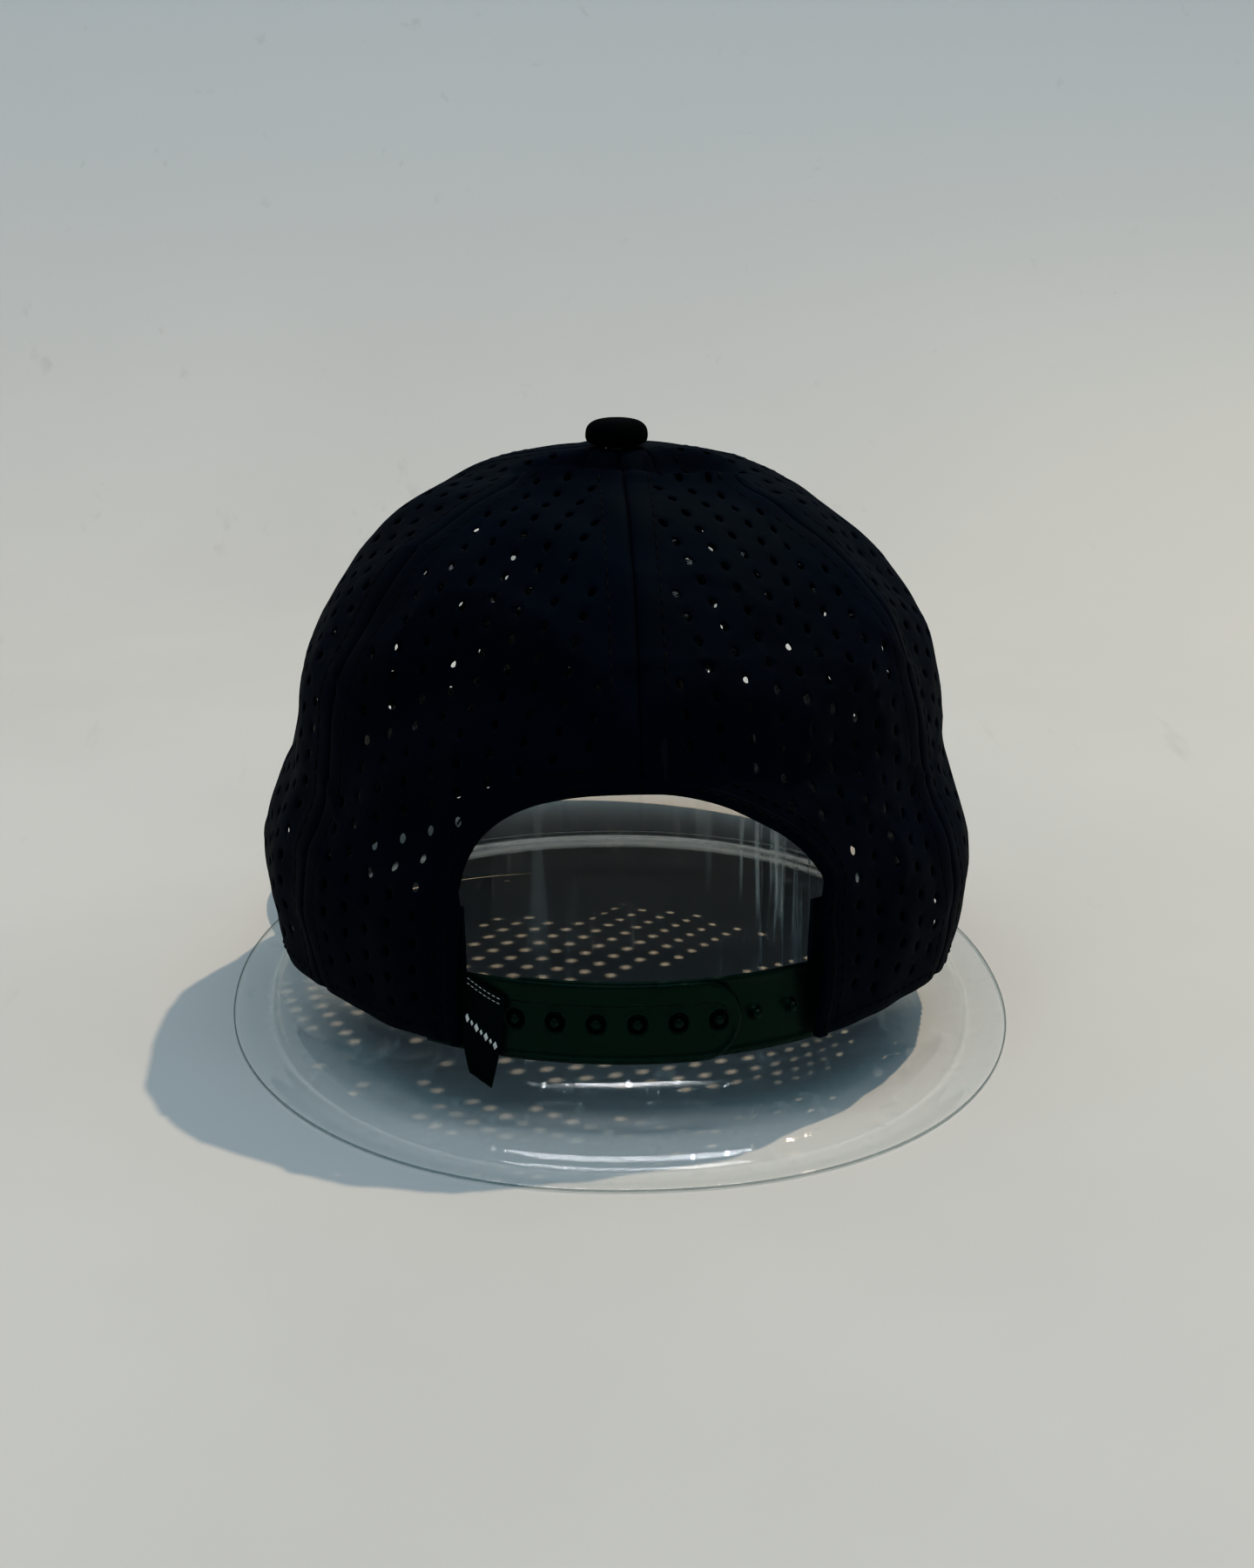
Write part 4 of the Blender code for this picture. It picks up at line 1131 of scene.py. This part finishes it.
def build_labels():
    edge = INNER_LABEL_SPAN
    inner = label_sheet(
        "inner_label", edge, INNER_LABEL_HEIGHTS, INNER_LABEL_DEPTH, 50, 20,
        lambda u, v: 0.12 * np.sin(7 * u) * np.sin(4 * v), TAG_SATIN,
    )
    settle(inner, "crown", "inner_label")
    rows = []
    for height in (INNER_LABEL_HEIGHTS[0] + 1.2, INNER_LABEL_HEIGHTS[1] - 1.2):
        where = np.linspace(edge[0] + 0.01, edge[1] - 0.01, 80)
        path, outward = crown(where, turn_at_height(np.full(80, height)), INNER_LABEL_DEPTH + 0.55)
        rows.append((path, -outward))
    stitched("inner_label_stitching", rows, "crown", "label_weave")
    care = label_sheet(
        "care_label", CARE_LABEL_SPAN, CARE_LABEL_HEIGHTS, CARE_LABEL_DEPTH, 10, 26,
        lambda u, v: 1.1 * (1 - v) ** 2 + 0.25 * np.sin(5 * v + 2 * u) * (1 - v), LABEL_SATIN,
    )
    settle(care, "care_label", "care_label")


def build_button():
    """The covered button: a flat cushion of cloth, gathered where it tucks under itself."""
    columns, base, top = 96, BUTTON_LOW.z - BUTTON_SINK, BUTTON_HIGH.z
    waist = base + BUTTON_WAIST * (top - base)
    angles = np.radians(np.concatenate([np.linspace(3, 90, 22), np.linspace(96, 158, 12)]))
    points, uv = [], []
    for angle in angles:
        half_height = top - waist if angle <= RIGHT_ANGLE else waist - base
        for i in range(columns):
            around = 2 * math.pi * i / columns
            gather = 0.17 * math.sin(14 * around + 1.3 * math.sin(3 * around))
            gather *= float(smooth(1.2, 2.0, angle))
            radius = BUTTON_RADIUS * math.sin(angle) ** 0.55 + gather
            fall = math.copysign(abs(math.cos(angle)) ** 0.85, math.cos(angle))
            points.append((radius * math.cos(around), radius * math.sin(around), waist + half_height * fall))
            uv.append((6 * angle * math.cos(around), 6 * angle * math.sin(around)))
    faces = [face[::-1] for face in grid_faces(columns, len(angles) - 1, wrap=True)]
    points.append((0.0, 0.0, top))
    uv.append((0.0, 0.0))
    faces += tip_faces(0, columns, len(points) - 1)
    cover = piece("button_cover", points, faces, BUTTON_CLOTH, uv=uv, sharp=80)
    settle(thicken(cover, 0.5), "crown", "button_cover")
    for node, material in (("button_shell", SHELL_METAL), ("button_tack", SHELL_METAL)):
        frame["nodes"][node].material_slots[0].material = material


# ---------------------------------------------------------------- snap closure


def stadium(left, right, half, middle, count=14):
    """A loop with two straight sides and rounded ends."""
    angles = np.linspace(-RIGHT_ANGLE, RIGHT_ANGLE, count)
    end = np.stack([right - half + half * np.cos(angles), middle + half * np.sin(angles)], -1)
    start = np.stack([left + half - half * np.cos(angles), middle - half * np.sin(angles)], -1)
    return np.concatenate([end, start])


def fill_loop(loop, spacing):
    """The loop with its long edges split."""
    made = []
    for a, b in zip(loop, np.roll(loop, -1, axis=0)):
        steps = max(1, int(np.linalg.norm(b - a) / spacing))
        made += [a + (b - a) * k / steps for k in range(steps)]
    return np.array(made)


def stadium_distance(points, left, right, half, middle):
    """Signed distance inside a stadium: positive inside."""
    x = np.clip(points[:, 0], left + half, right - half)
    return half - np.hypot(points[:, 0] - x, points[:, 1] - middle)


def bend_at_fold(obj, arc, depth, sign):
    """Bakes the strap's placement into its mesh. The band points either side of the fold are worked out but
    left unused: the strap is not bent.
    """
    middle = STRAP_FOOT + STRAP_HEIGHT / 2
    near, _ = band(np.array([arc - sign * 1.2]), middle, depth)
    far, _ = band(np.array([arc + sign * 1.2]), middle, depth)
    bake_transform(obj)


def strap_piece(name, outline, holes, extra, shape):
    """A moulded strap from its flat outline. shape gives each flat point's depth inside the band."""
    flat, faces, _ = cut_sheet(outline, holes, extra)
    points, _ = band(flat[:, 0], flat[:, 1] + STRAP_FOOT, shape(flat))
    return piece(name, points, faces, SNAP_PLASTIC, uv=flat, sharp=38)


def build_socket_strap():
    half = STRAP_HEIGHT / 2
    outline = fill_loop(stadium(-STRAP_ROOT - half, SOCKET_TIP, half, half, 22), 1.5)
    outline = outline[outline[:, 0] > -STRAP_ROOT]
    centres = [(SNAP_START + i * PITCH, half) for i in range(SOCKETS)]
    holes = [ellipse_loop(c, SOCKET_HOLE - 0.35, SOCKET_HOLE - 0.35, 28) for c in centres]
    field = (-STRAP_ROOT - 20.0, SOCKET_TIP - 2.1, 6.3, half - 1.7)
    radii = [SOCKET_HOLE + grow for grow in (0.1, 0.5, 0.9)]
    rings = [ellipse_loop(c, radius, radius, 28) for c in centres for radius in radii]
    edges = []
    for grow in (-1.0, -0.45, -0.1, 0.2, 0.6):
        left, right, radius, middle = field
        loop = stadium(left - grow, right + grow, radius + grow, middle, 26)
        edges.append(fill_loop(loop, 1.2))
    for shrink in (0.35, 0.8, 1.3):
        loop = stadium(-STRAP_ROOT - half, SOCKET_TIP - shrink, half - shrink, half, 26)
        edges.append(fill_loop(loop, 1.2))
    fill = spaced(outline, holes, hex_points(outline.min(0), outline.max(0), 1.5), 1.0, SOCKET_HOLE + 1.2)
    lines = spaced(outline, holes, np.concatenate(edges), 0.2, SOCKET_HOLE + 1.1)
    extra = np.concatenate([fill, lines] + rings)

    def shape(flat):
        sunk = 0.55 * smooth(-0.25, 0.25, stadium_distance(flat, *field))
        rim = stadium_distance(flat, -STRAP_ROOT - half, SOCKET_TIP, half, half)
        rounded = 0.5 * (1 - smooth(0.0, 0.8, rim)) ** 2
        gap = np.min([np.hypot(*(flat - np.array(c)).T) for c in centres], axis=0)
        collar = 0.16 * hump(gap, SOCKET_HOLE + 0.55, 0.35)
        lip = 0.4 * (1 - smooth(SOCKET_HOLE - 0.35, SOCKET_HOLE + 0.1, gap))
        return SOCKET_DEPTH + sunk + rounded - collar + lip

    strap = strap_piece("socket_strap", outline, holes, extra, shape)
    thicken(strap, SOCKET_THICKNESS - 0.55)
    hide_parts("socket_strap", "socket_strap_root")
    return strap


def build_stud_strap():
    half = STRAP_HEIGHT / 2
    outline = fill_loop(stadium(STUD_TIP, STRAP_ROOT + half, half, half, 22), 1.5)
    outline = outline[outline[:, 0] < STRAP_ROOT]
    edges = []
    for shrink in (0.35, 0.8, 1.5, 1.9):
        loop = stadium(STUD_TIP + shrink, STRAP_ROOT + half, half - shrink, half, 26)
        edges.append(fill_loop(loop, 1.2))
    fill = spaced(outline, [], hex_points(outline.min(0), outline.max(0), 1.7), 1.0, 0)
    lines = spaced(outline, [], np.concatenate(edges), 0.2, 0)

    def shape(flat):
        rim = stadium_distance(flat, STUD_TIP, STRAP_ROOT + half, half, half)
        rounded = 0.45 * (1 - smooth(0.0, 0.8, rim)) ** 2
        return STUD_DEPTH + rounded + 0.25 * smooth(1.5, 1.9, rim)

    plate = strap_piece("stud_strap", outline, [], np.concatenate([fill, lines]), shape)
    thicken(plate, STUD_THICKNESS - 0.3)
    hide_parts("stud_strap", "stud_strap_root")
    sides = 24
    for i in range(STUDS):
        arc = np.array([SNAP_START + i * PITCH])
        base, outward = band(arc, STRAP_FOOT + half, STUD_DEPTH + 0.3)
        up = np.array([0.0, 0.0, 1.0])
        side = np.cross(up, outward[0])
        points = []
        for radius, lift in STUD_PROFILE:
            for k in range(sides):
                angle = 2 * math.pi * k / sides
                spoke = side * math.cos(angle) + up * math.sin(angle)
                points.append(base[0] + outward[0] * lift + radius * spoke)
        faces = grid_faces(sides, len(STUD_PROFILE) - 1, wrap=True)
        points.append(base[0] + outward[0] * (STUD_PROFILE[-1][1] + 0.03))
        faces += tip_faces((len(STUD_PROFILE) - 1) * sides, sides, len(points) - 1)
        faces.append(tuple(range(sides - 1, -1, -1)))
        uv = [(p[0], p[2]) for p in points]
        settle(piece(f"stud_{i + 1}", points, faces, SNAP_PLASTIC, uv=uv), "stud_strap")
    return plate


def tag_point(u, v):
    """The woven tag's surface: sewn at its left edge, it droops and twists, cut at a slant at its foot."""
    left = -0.6 * (1 - v) + 3.2 * (1 - v) ** 5
    right = 6.6 + 3.7 * v + 0.5 * np.sin(math.pi * v)
    top = TAG_TOP - 4.8 * u
    foot = TAG_FOOT + 1.6 - 3.9 * u ** 0.8
    arc = -STRAP_HINGE + TAG_START + left + (right - left) * u
    height = foot + (top - foot) * v
    curl = 0.5 * np.sin(math.pi * u) * (0.3 + v) + 0.9 * u**1.5 * (1 - v) ** 1.5
    lift = 2.4 * (1 - u) ** 1.3 * (1 - v) ** 1.2
    wave = 0.2 * np.sin(5.2 * u + 4.1 * v)
    return band(arc, height, 0.95 - curl - lift - wave * u)


def build_tag():
    columns, rows = 40, 60
    u, v = grid(columns, rows)
    points, _ = tag_point(u, v)
    uv = np.stack([10.3 * u, 24.0 * v], -1)
    tag = piece("tag_label", points, grid_faces(columns, rows), TAG_SATIN, uv=uv)
    settle(thicken(tag, 0.45), "tag", "tag_label")
    rows = []
    for height in (0.920, 0.972):
        share = np.linspace(0.06, 0.96, 60)
        path, outward = tag_point(share, np.full(60, height))
        rows.append((path, outward))
    for share in np.linspace(0.1, 0.92, 9):
        path, outward = tag_point(np.full(12, share), np.linspace(0.93, 0.962, 12))
        rows.append((path, outward))
    stitched("tag_ladder_stitching", rows, "tag", "label_white", THREAD_WHITE, **LADDER_STITCH)
    settle(tag_diamonds(), "tag")


def tag_diamonds():
    """A plain row of small woven diamonds across the tag."""
    points, faces, uv = [], [], []
    for number in range(7):
        share = 0.12 + 0.76 * number / 6
        middle = 0.59 - 0.15 * share
        size = 0.052 if number % 2 else 0.078
        base = len(points)
        for du, dv in ((0, 0), (size, 0), (0, size * 0.62), (-size, 0), (0, -size * 0.62)):
            spot, outward = tag_point(np.array([share + du * 0.8]), np.array([middle + dv]))
            points.append(spot[0] + outward[0] * (0.16 if du == dv == 0 else 0.03))
            uv.append((du * 11.4, dv * 20))
        faces += [(base, base + 1, base + 2), (base, base + 2, base + 3)]
        faces += [(base, base + 3, base + 4), (base, base + 4, base + 1)]
    mark = piece("tag_diamonds", points, faces, THREAD_WHITE, uv=uv, sharp=20)
    return thicken(mark, 0.08, 0.0)


# ---------------------------------------------------------------- bill


def bill_height(x, y):
    """The bill's upper face: arched across, and falling a little towards its tip."""
    reach = HALF_WIDTH * math.cos(BILL_START)
    arch = (reach**2 - x**2) / (2 * BILL_ARCH_RADIUS)
    ahead = np.maximum(0.0, y - HALF_LENGTH * math.sin(BILL_START))
    droop = ahead * BILL_DROOP * (ahead / (BILL_REACH - HALF_LENGTH + ahead))
    return BAND_Z + BILL_LIFT + arch - droop


def bill_outer(u, edge):
    angle = -BILL_WRAP + (math.pi + 2 * BILL_WRAP) * u
    x = (BILL_HALF_WIDTH + edge) * np.cos(angle)
    y = BILL_CENTRE + (BILL_REACH - BILL_CENTRE + edge) * np.sin(angle)
    near = np.clip(np.minimum(u, 1 - u) / 0.14, 0, 1)
    ease = 1 - (1 - near) ** 2
    temple = (HALF_WIDTH + BILL_GAP + 1.2) * math.cos(BILL_START)
    return np.where(x < 0, -1, 1) * (temple + (np.abs(x) - temple) * ease), y


def bill_plan(u, v, edge=0.0):
    """The plan point from the crown (v = 0) to the outer edge (v = 1), and its distance from that edge."""
    azimuth = BILL_START + (math.pi - 2 * BILL_START) * u
    ix = (HALF_WIDTH + BILL_JOINT_GAP) * np.cos(azimuth)
    iy = (HALF_LENGTH + BILL_JOINT_GAP) * np.sin(azimuth)
    ox, oy = bill_outer(u, edge)
    x, y = ix + (ox - ix) * v, iy + (oy - iy) * v
    return x, y, (1 - v) * np.hypot(ox - ix, oy - iy)


def bill_quilting(inset, reach):
    """The cloth's relief between the bill's stitch rows."""
    relief = np.zeros_like(inset)
    for row in BILL_ROWS:
        relief -= 0.30 * hump(inset, row, 0.65)
    puff = 0.16 * (1 - np.cos(2 * math.pi * (inset - BILL_ROWS[0]) / (BILL_ROWS[1] - BILL_ROWS[0])))
    return relief + puff * smooth(BILL_ROWS[0], BILL_ROWS[0] + 2, inset) * smooth(0, 3, reach - inset)


def bill_skin(name, side):
    """One cover of the bill, from the crown over half of the rounded edge. side is 1 above, -1 below."""
    columns, rows, curve = 170, 84, 6
    u, v = grid(columns, rows)
    x, y, inset = bill_plan(u, v, -BILL_EDGE_ROUND)
    _, _, reach = bill_plan(u, np.zeros_like(u), -BILL_EDGE_ROUND)
    middle = bill_height(x, y) - BILL_THICKNESS / 2
    inner_round = 0.9 * (1 - smooth(0, BILL_EDGE_ROUND, reach - inset)) ** 2
    z = middle + side * (BILL_THICKNESS / 2 - 0.15 + bill_quilting(inset, reach) - inner_round)
    z = z + side * 0.10 * ripples(np.stack([x, y, z], -1), 31, 14, 40)
    points = [np.stack([x, y, z], -1).reshape(rows + 1, columns + 1, 3)]
    across = np.linspace(0, 1, columns + 1)
    for k in range(1, curve + 1):
        angle = RIGHT_ANGLE * k / curve
        x, y, _ = bill_plan(across, np.ones_like(across), BILL_EDGE_ROUND * (math.sin(angle) - 1))
        lift = (BILL_THICKNESS / 2 - 0.15) * math.cos(angle) + 0.12
        z = bill_height(x, y) - BILL_THICKNESS / 2 + side * lift
        points.append(np.stack([x, y, z], -1)[None])
    points = np.concatenate(points).reshape(-1, 3)
    faces = grid_faces(columns, rows + curve)
    if side < 0:
        faces = [face[::-1] for face in faces]
    skin = piece(name, points, faces, BILL_CLOTH, uv=points[:, :2], sharp=70)
    return settle(thicken(skin, BILL_COVER), "bill", name)


def build_bill_board():
    """The stiff board between the bill's covers, kept back from the crown by the covers' turned-in edge."""
    columns, rows = 110, 40
    u, v = grid(columns, rows)
    x, y, _ = bill_plan(0.015 + 0.97 * u, 0.05 + 0.95 * v, -BOARD_EDGE_GAP)
    z = bill_height(x, y) - BILL_THICKNESS / 2
    points = np.stack([x, y, z], -1)
    board = piece("bill_board", points, grid_faces(columns, rows), BOARD_PLASTIC)
    settle(thicken(board, BOARD_THICKNESS, 0.0), "bill", "bill_board")


def build_bill():
    bill_skin("bill_top_cover", 1)
    bill_skin("bill_under_cover", -1)
    build_bill_board()
    for name, side in (("top", 1), ("under", -1)):
        rows = []
        for inset in BILL_ROWS:
            u = np.linspace(0.0, 1.0, 400)
            x, y, reach = bill_plan(u, np.zeros_like(u), -BILL_EDGE_ROUND)
            keep = reach > inset + 3.0
            share = 1 - inset / np.maximum(reach, 1e-6)
            x, y, _ = bill_plan(u[keep], share[keep], -BILL_EDGE_ROUND)
            z = bill_height(x, y) - BILL_THICKNESS / 2 + side * (BILL_THICKNESS / 2 - 0.40)
            rows.append((np.stack([x, y, z], -1), np.tile([0.0, 0.0, float(side)], (len(x), 1))))
        stitched(f"bill_{name}_stitching", rows, "bill", "bill_fabric")


# ---------------------------------------------------------------- clear form


WALL_HALF_WIDTH = 77.0
WALL_HALF_LENGTH = 87.0
WALL_TAPER = (3.5, 6.0)
FOOT_FLARE = (13.0, 30.0)
FOOT_RISE = 13.0
STEP_RISE = 3.4
STEP_SHARE = 0.26
WALL_TOP = 85.0
SHOULDER = 28.0
FORM_POWER = 2.15
SHEET = 0.8
CREASE = 33.0
CUT_EDGE = (0.32, 0.6, 0.15, 3)


def form_profile():
    """Rings from the flange's edge to the top, as (half width, half length, height)."""
    top = FORM_HIGH.z - 0.4
    flange = (FORM_HIGH.x, AXIS_Y - FORM_LOW.y)
    rings = [(flange[0] - 0.15, flange[1] - 0.15, SHEET * 0.6), (flange[0] - 0.5, flange[1] - 0.5, SHEET)]

    def flared(out, height):
        return WALL_HALF_WIDTH + FOOT_FLARE[0] * out, WALL_HALF_LENGTH + FOOT_FLARE[1] * out, height

    foot = flared(1.0, 0.0)
    for share in np.linspace(0.15, 1.0, 8):
        width = flange[0] + (foot[0] + 1.6 - flange[0]) * share
        length = flange[1] + (foot[1] + 1.6 - flange[1]) * share
        rings.append((width, length, SHEET + 0.10 * math.sin(9 * share)))
    # A low rounded step up from the flange, then the flare up into the wall.
    for degrees in np.linspace(6, 86, 16):
        angle = math.radians(degrees)
        out = 1 - STEP_SHARE * (1 - math.cos(angle))
        height = SHEET + STEP_RISE * math.sin(angle)
        rings.append(flared(out, height))
    for degrees in np.linspace(6, 90, 20):
        angle = math.radians(degrees)
        out = (1 - STEP_SHARE) * (1 - math.sin(angle))
        height = SHEET + STEP_RISE + (FOOT_RISE - STEP_RISE) * (1 - math.cos(angle))
        rings.append(flared(out, height))
    for share in np.linspace(0.06, 1.0, 18):
        height = SHEET + FOOT_RISE + (WALL_TOP - SHEET - FOOT_RISE) * share
        width, length = WALL_HALF_WIDTH - WALL_TAPER[0] * share, WALL_HALF_LENGTH - WALL_TAPER[1] * share
        rings.append((width, length, height))
    wall = (WALL_HALF_WIDTH - WALL_TAPER[0], WALL_HALF_LENGTH - WALL_TAPER[1])
    for degrees in np.linspace(8, 90, 14):
        angle = math.radians(degrees)
        inset = SHOULDER * (1 - math.cos(angle))
        rings.append((wall[0] - inset, wall[1] - inset, WALL_TOP + (top - WALL_TOP) * math.sin(angle)))
    for share in (0.75, 0.5, 0.25, 0.08):
        rings.append(((wall[0] - SHOULDER) * share, (wall[1] - SHOULDER) * share, top + 0.3 * (1 - share)))
    return rings


def build_form():
    columns = 448
    angles = 2 * np.pi * np.arange(columns) / columns
    power = 2 / FORM_POWER
    unit_x = np.sign(np.cos(angles)) * np.abs(np.cos(angles)) ** power
    unit_y = np.sign(np.sin(angles)) * np.abs(np.sin(angles)) ** power
    points = []
    for width, length, height in form_profile():
        x, y = width * unit_x, length * unit_y
        # The wall is pressed flatter across the back and the front, between soft vertical creases.
        upright = float(smooth(8, 20, height) * smooth(104, 84, height))
        flat = 1.5 * upright * smooth(35, 31, np.abs(x)) * (1 - 0.35 * (x / CREASE) ** 2)
        bead = 0.55 * upright * hump(np.abs(x), CREASE, 0.9)
        y = y - np.sign(y) * (flat - bead)
        wobble = 0.25 * upright * np.sin(3 * angles + height / 19)
        wobble = wobble + 0.15 * np.sin(5 * angles + 1) * (height < 2)
        points.append(np.stack([x + wobble, y, np.full(columns, height)], -1))
    rings = len(points)
    points = np.concatenate(points)
    faces = grid_faces(columns, rings - 1, wrap=True)
    points = np.concatenate([points, [[0.0, 0.0, FORM_HIGH.z - 0.05]]])
    faces += tip_faces((rings - 1) * columns, columns, len(points) - 1)
    shell = piece("clear_form", points, faces, CLEAR, sharp=75)
    settle(thicken(shell, SHEET * 0.8), "form", "clear_form")
    edge = np.array(points[:columns + 1])
    edge[columns] = edge[0]
    up = np.tile([0.0, 0.0, 1.0], (columns + 1, 1))
    section = rounded_section(*CUT_EDGE)
    settle(sweep("flange_cut_edge", edge, up, section, SHEET_EDGE, closed=True), "form")


# ---------------------------------------------------------------- studio


TABLE_NEAR = -1.6
TABLE_HALF_WIDTH = 2.0
SWEEP_START = 0.34
SWEEP_RADIUS = 0.42
SWEEP_TOP = 0.75
SUN_ENERGY = 1.80
SUN_TOWARDS = (0.43, 0.38, 1.0)
SUN_COLOUR = (1.0, 0.78, 0.55)
SUN_ANGLE = math.radians(1.0)
STRIP_ENERGY = 2.2
STRIP_COLOUR = (0.94, 0.98, 1.0)
STRIP_TOWARDS = (0.0, -0.12, 1.0)
GLEAM_ENERGY = 85.0
GLEAM_SIZE = (0.9, 0.5)
STRIP_DISTANCE = 1.2
STRIP_SIZE = (0.9, 0.2)
CAMERA_TOE = ((0.012, 0.006), (0.035, 0.021), (0.09, 0.085), (0.2, 0.21), (0.5, 0.5))
SKY_POWER = 1.7
SKY_LOW = (0.02, 0.03, 0.045, 1)
SKY_HIGH = (0.49, 0.70, 0.80, 1)
SKY_SEEN = (0.43, 0.46, 0.46, 1)


def build_studio():
    """A pale table that sweeps up into its backdrop, one clear high warm light and cool soft fill."""
    profile = [(TABLE_NEAR, 0.0), (SWEEP_START, 0.0)]
    for degrees in range(3, 91, 3):
        angle = math.radians(degrees)
        profile.append((SWEEP_START + SWEEP_RADIUS * math.sin(angle), SWEEP_RADIUS * (1 - math.cos(angle))))
    profile.append((SWEEP_START + SWEEP_RADIUS, SWEEP_TOP))
    points = [(x, y, z) for y, z in profile for x in (-TABLE_HALF_WIDTH, TABLE_HALF_WIDTH)]
    mesh = bpy.data.meshes.new("backdrop")
    faces = [(2 * i, 2 * i + 1, 2 * i + 3, 2 * i + 2) for i in range(len(profile) - 1)]
    mesh.from_pydata(points, [], faces)
    mesh.materials.append(TABLE)
    mesh.shade_smooth()
    backdrop = bpy.data.objects.new("backdrop", mesh)
    bpy.context.scene.collection.objects.link(backdrop)
    backdrop.visible_shadow = False
    sun = add_light("sun", "SUN", SUN_ENERGY, SUN_COLOUR, SUN_TOWARDS)
    sun.data.angle = SUN_ANGLE
    add_strip("overhead_strip", STRIP_ENERGY, STRIP_SIZE)
    # A wider strip in the same place, for the clear form's mirror alone, draws its gleams.
    gleam = add_strip("form_gleam", GLEAM_ENERGY, GLEAM_SIZE)
    gleam.visible_diffuse = False
    clear = bpy.data.collections.new("clear_pieces")
    for name in ("clear_form_detail", "flange_cut_edge"):
        clear.objects.link(bpy.data.objects[name])
    gleam.light_linking.receiver_collection = clear

    world = bpy.data.worlds.new("studio")
    world.use_nodes = True
    nodes, links = world.node_tree.nodes, world.node_tree.links
    parts = nodes.new("ShaderNodeSeparateXYZ")
    links.new(nodes.new("ShaderNodeTexCoord").outputs["Generated"], parts.inputs[0])
    lift = nodes.new("ShaderNodeMath")
    lift.operation = "POWER"
    lift.use_clamp = True
    lift.inputs[1].default_value = SKY_POWER
    links.new(parts.outputs[2], lift.inputs[0])
    sky = nodes.new("ShaderNodeMix")
    sky.data_type = "RGBA"
    sky.inputs[6].default_value = SKY_LOW
    sky.inputs[7].default_value = SKY_HIGH
    links.new(lift.outputs[0], sky.inputs[0])
    seen = nodes.new("ShaderNodeMix")
    seen.data_type = "RGBA"
    seen.inputs[7].default_value = SKY_SEEN
    links.new(nodes.new("ShaderNodeLightPath").outputs["Is Camera Ray"], seen.inputs[0])
    links.new(sky.outputs[2], seen.inputs[6])
    links.new(seen.outputs[2], nodes["Background"].inputs["Color"])
    bpy.context.scene.world = world
    response = bpy.context.scene.view_settings
    response.view_transform = "Standard"
    response.use_curve_mapping = True
    curve = response.curve_mapping.curves[3]
    for light, shown in CAMERA_TOE:
        curve.points.new(light, shown)
    response.curve_mapping.update()


def add_light(name, kind, energy, colour, towards):
    light = bpy.data.lights.new(name, kind)
    light.energy = energy
    light.color = colour
    holder = bpy.data.objects.new(name, light)
    holder.rotation_euler = Vector(towards).to_track_quat("Z", "Y").to_euler()
    bpy.context.scene.collection.objects.link(holder)
    return holder


def add_strip(name, energy, size):
    """A long soft light overhead."""
    strip = add_light(name, "AREA", energy, STRIP_COLOUR, STRIP_TOWARDS)
    strip.location = Vector(STRIP_TOWARDS) * STRIP_DISTANCE
    strip.data.shape = "RECTANGLE"
    strip.data.size, strip.data.size_y = size
    return strip


CAMERA_ELEVATION = math.radians(16.8)
CAMERA_YAW = math.radians(3.6)
CAMERA_DISTANCE = 0.650
CAMERA_TARGET_HEIGHT = 0.0543
CAMERA_SIDE = 0.0026
CAMERA_LENS = 57.6
CAMERA_SENSOR = 36.0


def build_camera():
    """Behind the cap, a little to its left and above it, looking down at the snap closure."""
    camera = bpy.data.cameras.new("camera")
    camera.lens = CAMERA_LENS
    camera.sensor_width = CAMERA_SENSOR
    holder = bpy.data.objects.new("camera", camera)
    bpy.context.scene.collection.objects.link(holder)
    back = Vector((0, -math.cos(CAMERA_ELEVATION), math.sin(CAMERA_ELEVATION))) * CAMERA_DISTANCE
    spot = Vector((CAMERA_SIDE, 0, CAMERA_TARGET_HEIGHT)) + back
    holder.location = Matrix.Rotation(-CAMERA_YAW, 3, "Z") @ spot + Vector((AXIS_X, AXIS_Y, 0)) * MM
    holder.rotation_euler = (RIGHT_ANGLE - CAMERA_ELEVATION, 0, -CAMERA_YAW)
    bpy.context.scene.camera = holder


# ---------------------------------------------------------------- the object


build_crown()
build_arch()
build_hem()
build_tapes()
build_buckram()
build_sweatband()
build_bill_allowance()
build_brow_foam()
build_labels()
build_button()
bend_at_fold(build_socket_strap(), -STRAP_HINGE, 0.5, 1)
bend_at_fold(build_stud_strap(), STRAP_HINGE, STUD_DEPTH + STUD_THICKNESS, -1)
build_tag()
build_bill()
build_form()
build_studio()
build_camera()
